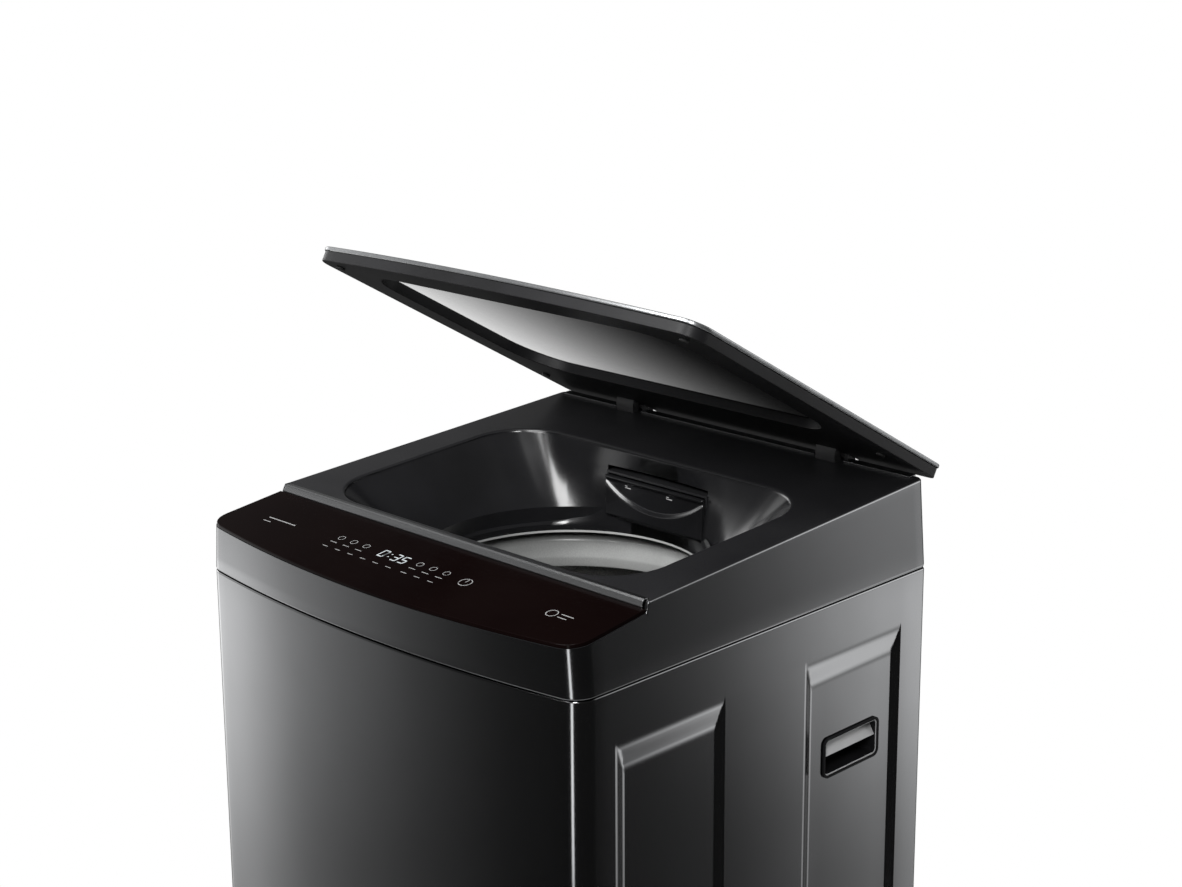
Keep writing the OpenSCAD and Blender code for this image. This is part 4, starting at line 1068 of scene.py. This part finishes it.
def drum_wall():
    """The basket's sheet: cells with a round hole in each, and plain bands above and below."""
    lo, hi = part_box("basket_wall")
    r_out = hi.x
    cells, rings_n, sides = 72, 16, 8
    cell_w = 2 * math.pi * r_out / cells
    z_low, z_high = lo.z + 30 * MM, hi.z - 30 * MM
    cell_h = (z_high - z_low) / rings_n
    hole = 1.8 * MM
    build = Builder()

    def bend(s, z):
        a = s / r_out
        return (TUB.x + r_out * math.cos(a), TUB.y + r_out * math.sin(a), z)

    angles = [math.radians(22.5 + 45 * k) for k in range(sides)]
    for i in range(cells):
        for j in range(rings_n):
            cx, cz = (i + 0.5) * cell_w, z_low + (j + 0.5) * cell_h
            corners = [(cx + sx * cell_w / 2, cz + sz * cell_h / 2)
                       for sx, sz in ((1, 1), (-1, 1), (-1, -1), (1, -1))]
            ring_points = [(cx + hole * math.cos(a), cz + hole * math.sin(a)) for a in angles]
            flat = [bend(*p) for p in corners + ring_points]
            faces = []
            for c in range(4):
                first = 4 + (2 * c) % 8
                faces.append((c, first, 4 + (2 * c + 1) % 8))
                faces.append((c, 4 + (2 * c + 1) % 8, 4 + (2 * c + 2) % 8, (c + 1) % 4))
            build.add(flat, faces)
    for z0, z1 in ((lo.z, z_low), (z_high, hi.z)):
        rows = [[bend(i * cell_w, z) for i in range(cells)] for z in (z0, z1)]
        build.grid(rows, wrap=True)
    piece = build.make("drum_sheet", "basket", M["steel"], 60)
    thicken(piece, 0.9 * MM, -1.0)
    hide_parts("basket_wall")


drum_wall()


# ---------------------------------------------------------------- finishes of the carried-over nodes

FINISH = {
    "cabinet_paint": "paint", "rear_paint": "rear", "zinc": "zinc", "base_plastic": "satin_black",
    "cover_plastic": "cover", "trim_metal": "trim", "panel_glass": "gloss_black", "circuit_board": "board",
    "black_plastic": "satin_black", "grey_plastic": "grey", "white_plastic": "white", "blue_plastic": "blue",
    "rubber": "rubber", "spring_steel": "zinc", "lid_glass": "gloss_black", "lid_plastic": "gloss_black",
    "cast_aluminium": "alloy", "magnet": "magnet", "tub_plastic": "tub", "basket_steel": "steel",
    "basket_plastic": "ring", "motor_paint": "rear",
}
for subpart in frame["record"]["subparts"]:
    piece = nodes[subpart["node"]]
    if not piece.hide_render:
        piece.data.materials.clear()
        piece.data.materials.append(M[FINISH[subpart["material_slot"]]])
        for polygon in piece.data.polygons:
            polygon.use_smooth = True
        piece.data.set_sharp_from_angle(angle=math.radians(30))


# ---------------------------------------------------------------- floor, light and camera

scene = bpy.context.scene
scene.view_settings.view_transform = "Standard"
floor_mesh = bpy.data.meshes.new("floor")
floor_mesh.from_pydata([(x, y, 0) for x, y in arc(0, 0, 0.95, 0, 360, 96)[:-1]], [], [tuple(range(96))])
floor = bpy.data.objects.new("floor", floor_mesh)
scene.collection.objects.link(floor)
floor_mesh.materials.append(textured("pale_floor", grey(0.80), grey(0.82), (0.5, 0.6), 3))

world = bpy.data.worlds.new("studio")
scene.world = world
world.use_nodes = True
sky = world.node_tree
background = sky.nodes["Background"]
direction = add(sky, "ShaderNodeTexCoord")
axes = add(sky, "ShaderNodeSeparateXYZ")
sky.links.new(direction.outputs["Generated"], axes.inputs["Vector"])


def sky_math(operation, a, b):
    node = add(sky, "ShaderNodeMath", operation=operation)
    for value, socket in ((a, node.inputs[0]), (b, node.inputs[1])):
        if isinstance(value, (int, float)):
            socket.default_value = value
        else:
            sky.links.new(value, socket)
    return node.outputs[0]


# The studio's brightness round the horizon, by degrees from -x: dark flags between wide soft lights
HORIZON = (
    (0, 0.62), (20, 0.52), (29, 0.215), (35, 0.14), (46, 0.05), (56, 0.01), (62, 0.004),
    (120, 0.004), (220, 0.003), (225.5, 0.004), (227, 0.005), (229.8, 0.03), (232.4, 0.25),
    (234, 0.5), (240, 0.5), (252, 0.4), (260, 0.1), (272, 0.03), (278, 0.06), (310, 0.008),
    (313, 0.02), (317, 0.028), (325, 0.03), (338.4, 0.03), (349.2, 0.14), (360, 0.62),
)
# The same by height, from straight down at 0 to straight up at 1
HEIGHT = (
    (0.185, 0.06), (0.20, 0.40), (0.215, 0.62), (0.24, 0.45), (0.265, 0.22), (0.28, 0.25), (0.31, 0.50),
    (0.335, 0.62), (0.355, 0.36), (0.375, 0.24), (0.41, 0.24), (0.46, 0.80), (0.50, 1.0),
    (0.575, 0.80), (0.65, 0.50), (0.705, 0.45), (0.73, 0.08), (0.80, 0.04),
)
angle = sky_math("ARCTAN2", axes.outputs["Y"], axes.outputs["X"])
turn = sky_math("ADD", sky_math("MULTIPLY", angle, 0.5 / math.pi), 0.5)
tilt = sky_math("MULTIPLY", sky_math("ADD", axes.outputs["Z"], 0.4), 0.04)
rise = sky_math("ADD", sky_math("MULTIPLY", axes.outputs["Z"], 0.5), 0.5)
around = ramp(sky, sky_math("ADD", turn, tilt), [(degrees / 360, grey(v)) for degrees, v in HORIZON])
upward = ramp(sky, rise, [(place, grey(v)) for place, v in HEIGHT])
overhead = ramp(sky, axes.outputs["Z"], ((0.5, grey(0.0)), (0.95, grey(0.06))))
total = sky_math("ADD", sky_math("MULTIPLY", sky_math("MULTIPLY", around, upward), 2.0), overhead)
path = add(sky, "ShaderNodeLightPath")
lit = sky_math("MULTIPLY_ADD", total, 4.0)
lit.node.inputs[2].default_value = 0.02
view = add(sky, "ShaderNodeMix", data_type="FLOAT")
sky.links.new(path.outputs["Is Camera Ray"], view.inputs[0])
sky.links.new(lit, view.inputs[2])
view.inputs[3].default_value = 1.0
sky.links.new(view.outputs[0], background.inputs["Strength"])
background.inputs["Color"].default_value = (1, 1, 1, 1)


def softbox(name, place, target, width, height, power):
    light = bpy.data.lights.new(name, "AREA")
    light.shape = "RECTANGLE"
    light.size = width
    light.size_y = height
    light.energy = power
    lamp = bpy.data.objects.new(name, light)
    scene.collection.objects.link(lamp)
    lamp.location = place
    lamp.rotation_euler = (Vector(target) - Vector(place)).to_track_quat("-Z", "Y").to_euler()
    return lamp


softbox("mouth_box", (1.5, -1.7, 2.4), (-0.05, 0.05, 0.85), 0.5, 0.9, 45)
softbox("corner_strip", (1.5, -2.7, 0.3), (0.27, -0.28, 0.6), 0.45, 2.0, 12)
softbox("streak_strip", (-0.13, -1.45, 2.3), (-0.18, 0.1, 0.89), 1.2, 0.9, 60)
softbox("top_box", (-0.5, -0.4, 3.1), (0, 0, 0.9), 1.4, 1.0, 12)

camera_data = bpy.data.cameras.new("camera")
camera = bpy.data.objects.new("camera", camera_data)
scene.collection.objects.link(camera)
scene.camera = camera
camera.location = (1.59447, -1.57166, 1.61907)
camera.rotation_euler = Vector((-0.66533, 0.70491, -0.24584)).to_track_quat("-Z", "Y").to_euler()
camera_data.lens = 66.905
camera_data.sensor_width = 36
camera_data.shift_x = -0.0454
camera_data.shift_y = -0.0499
camera_data.clip_end = 60
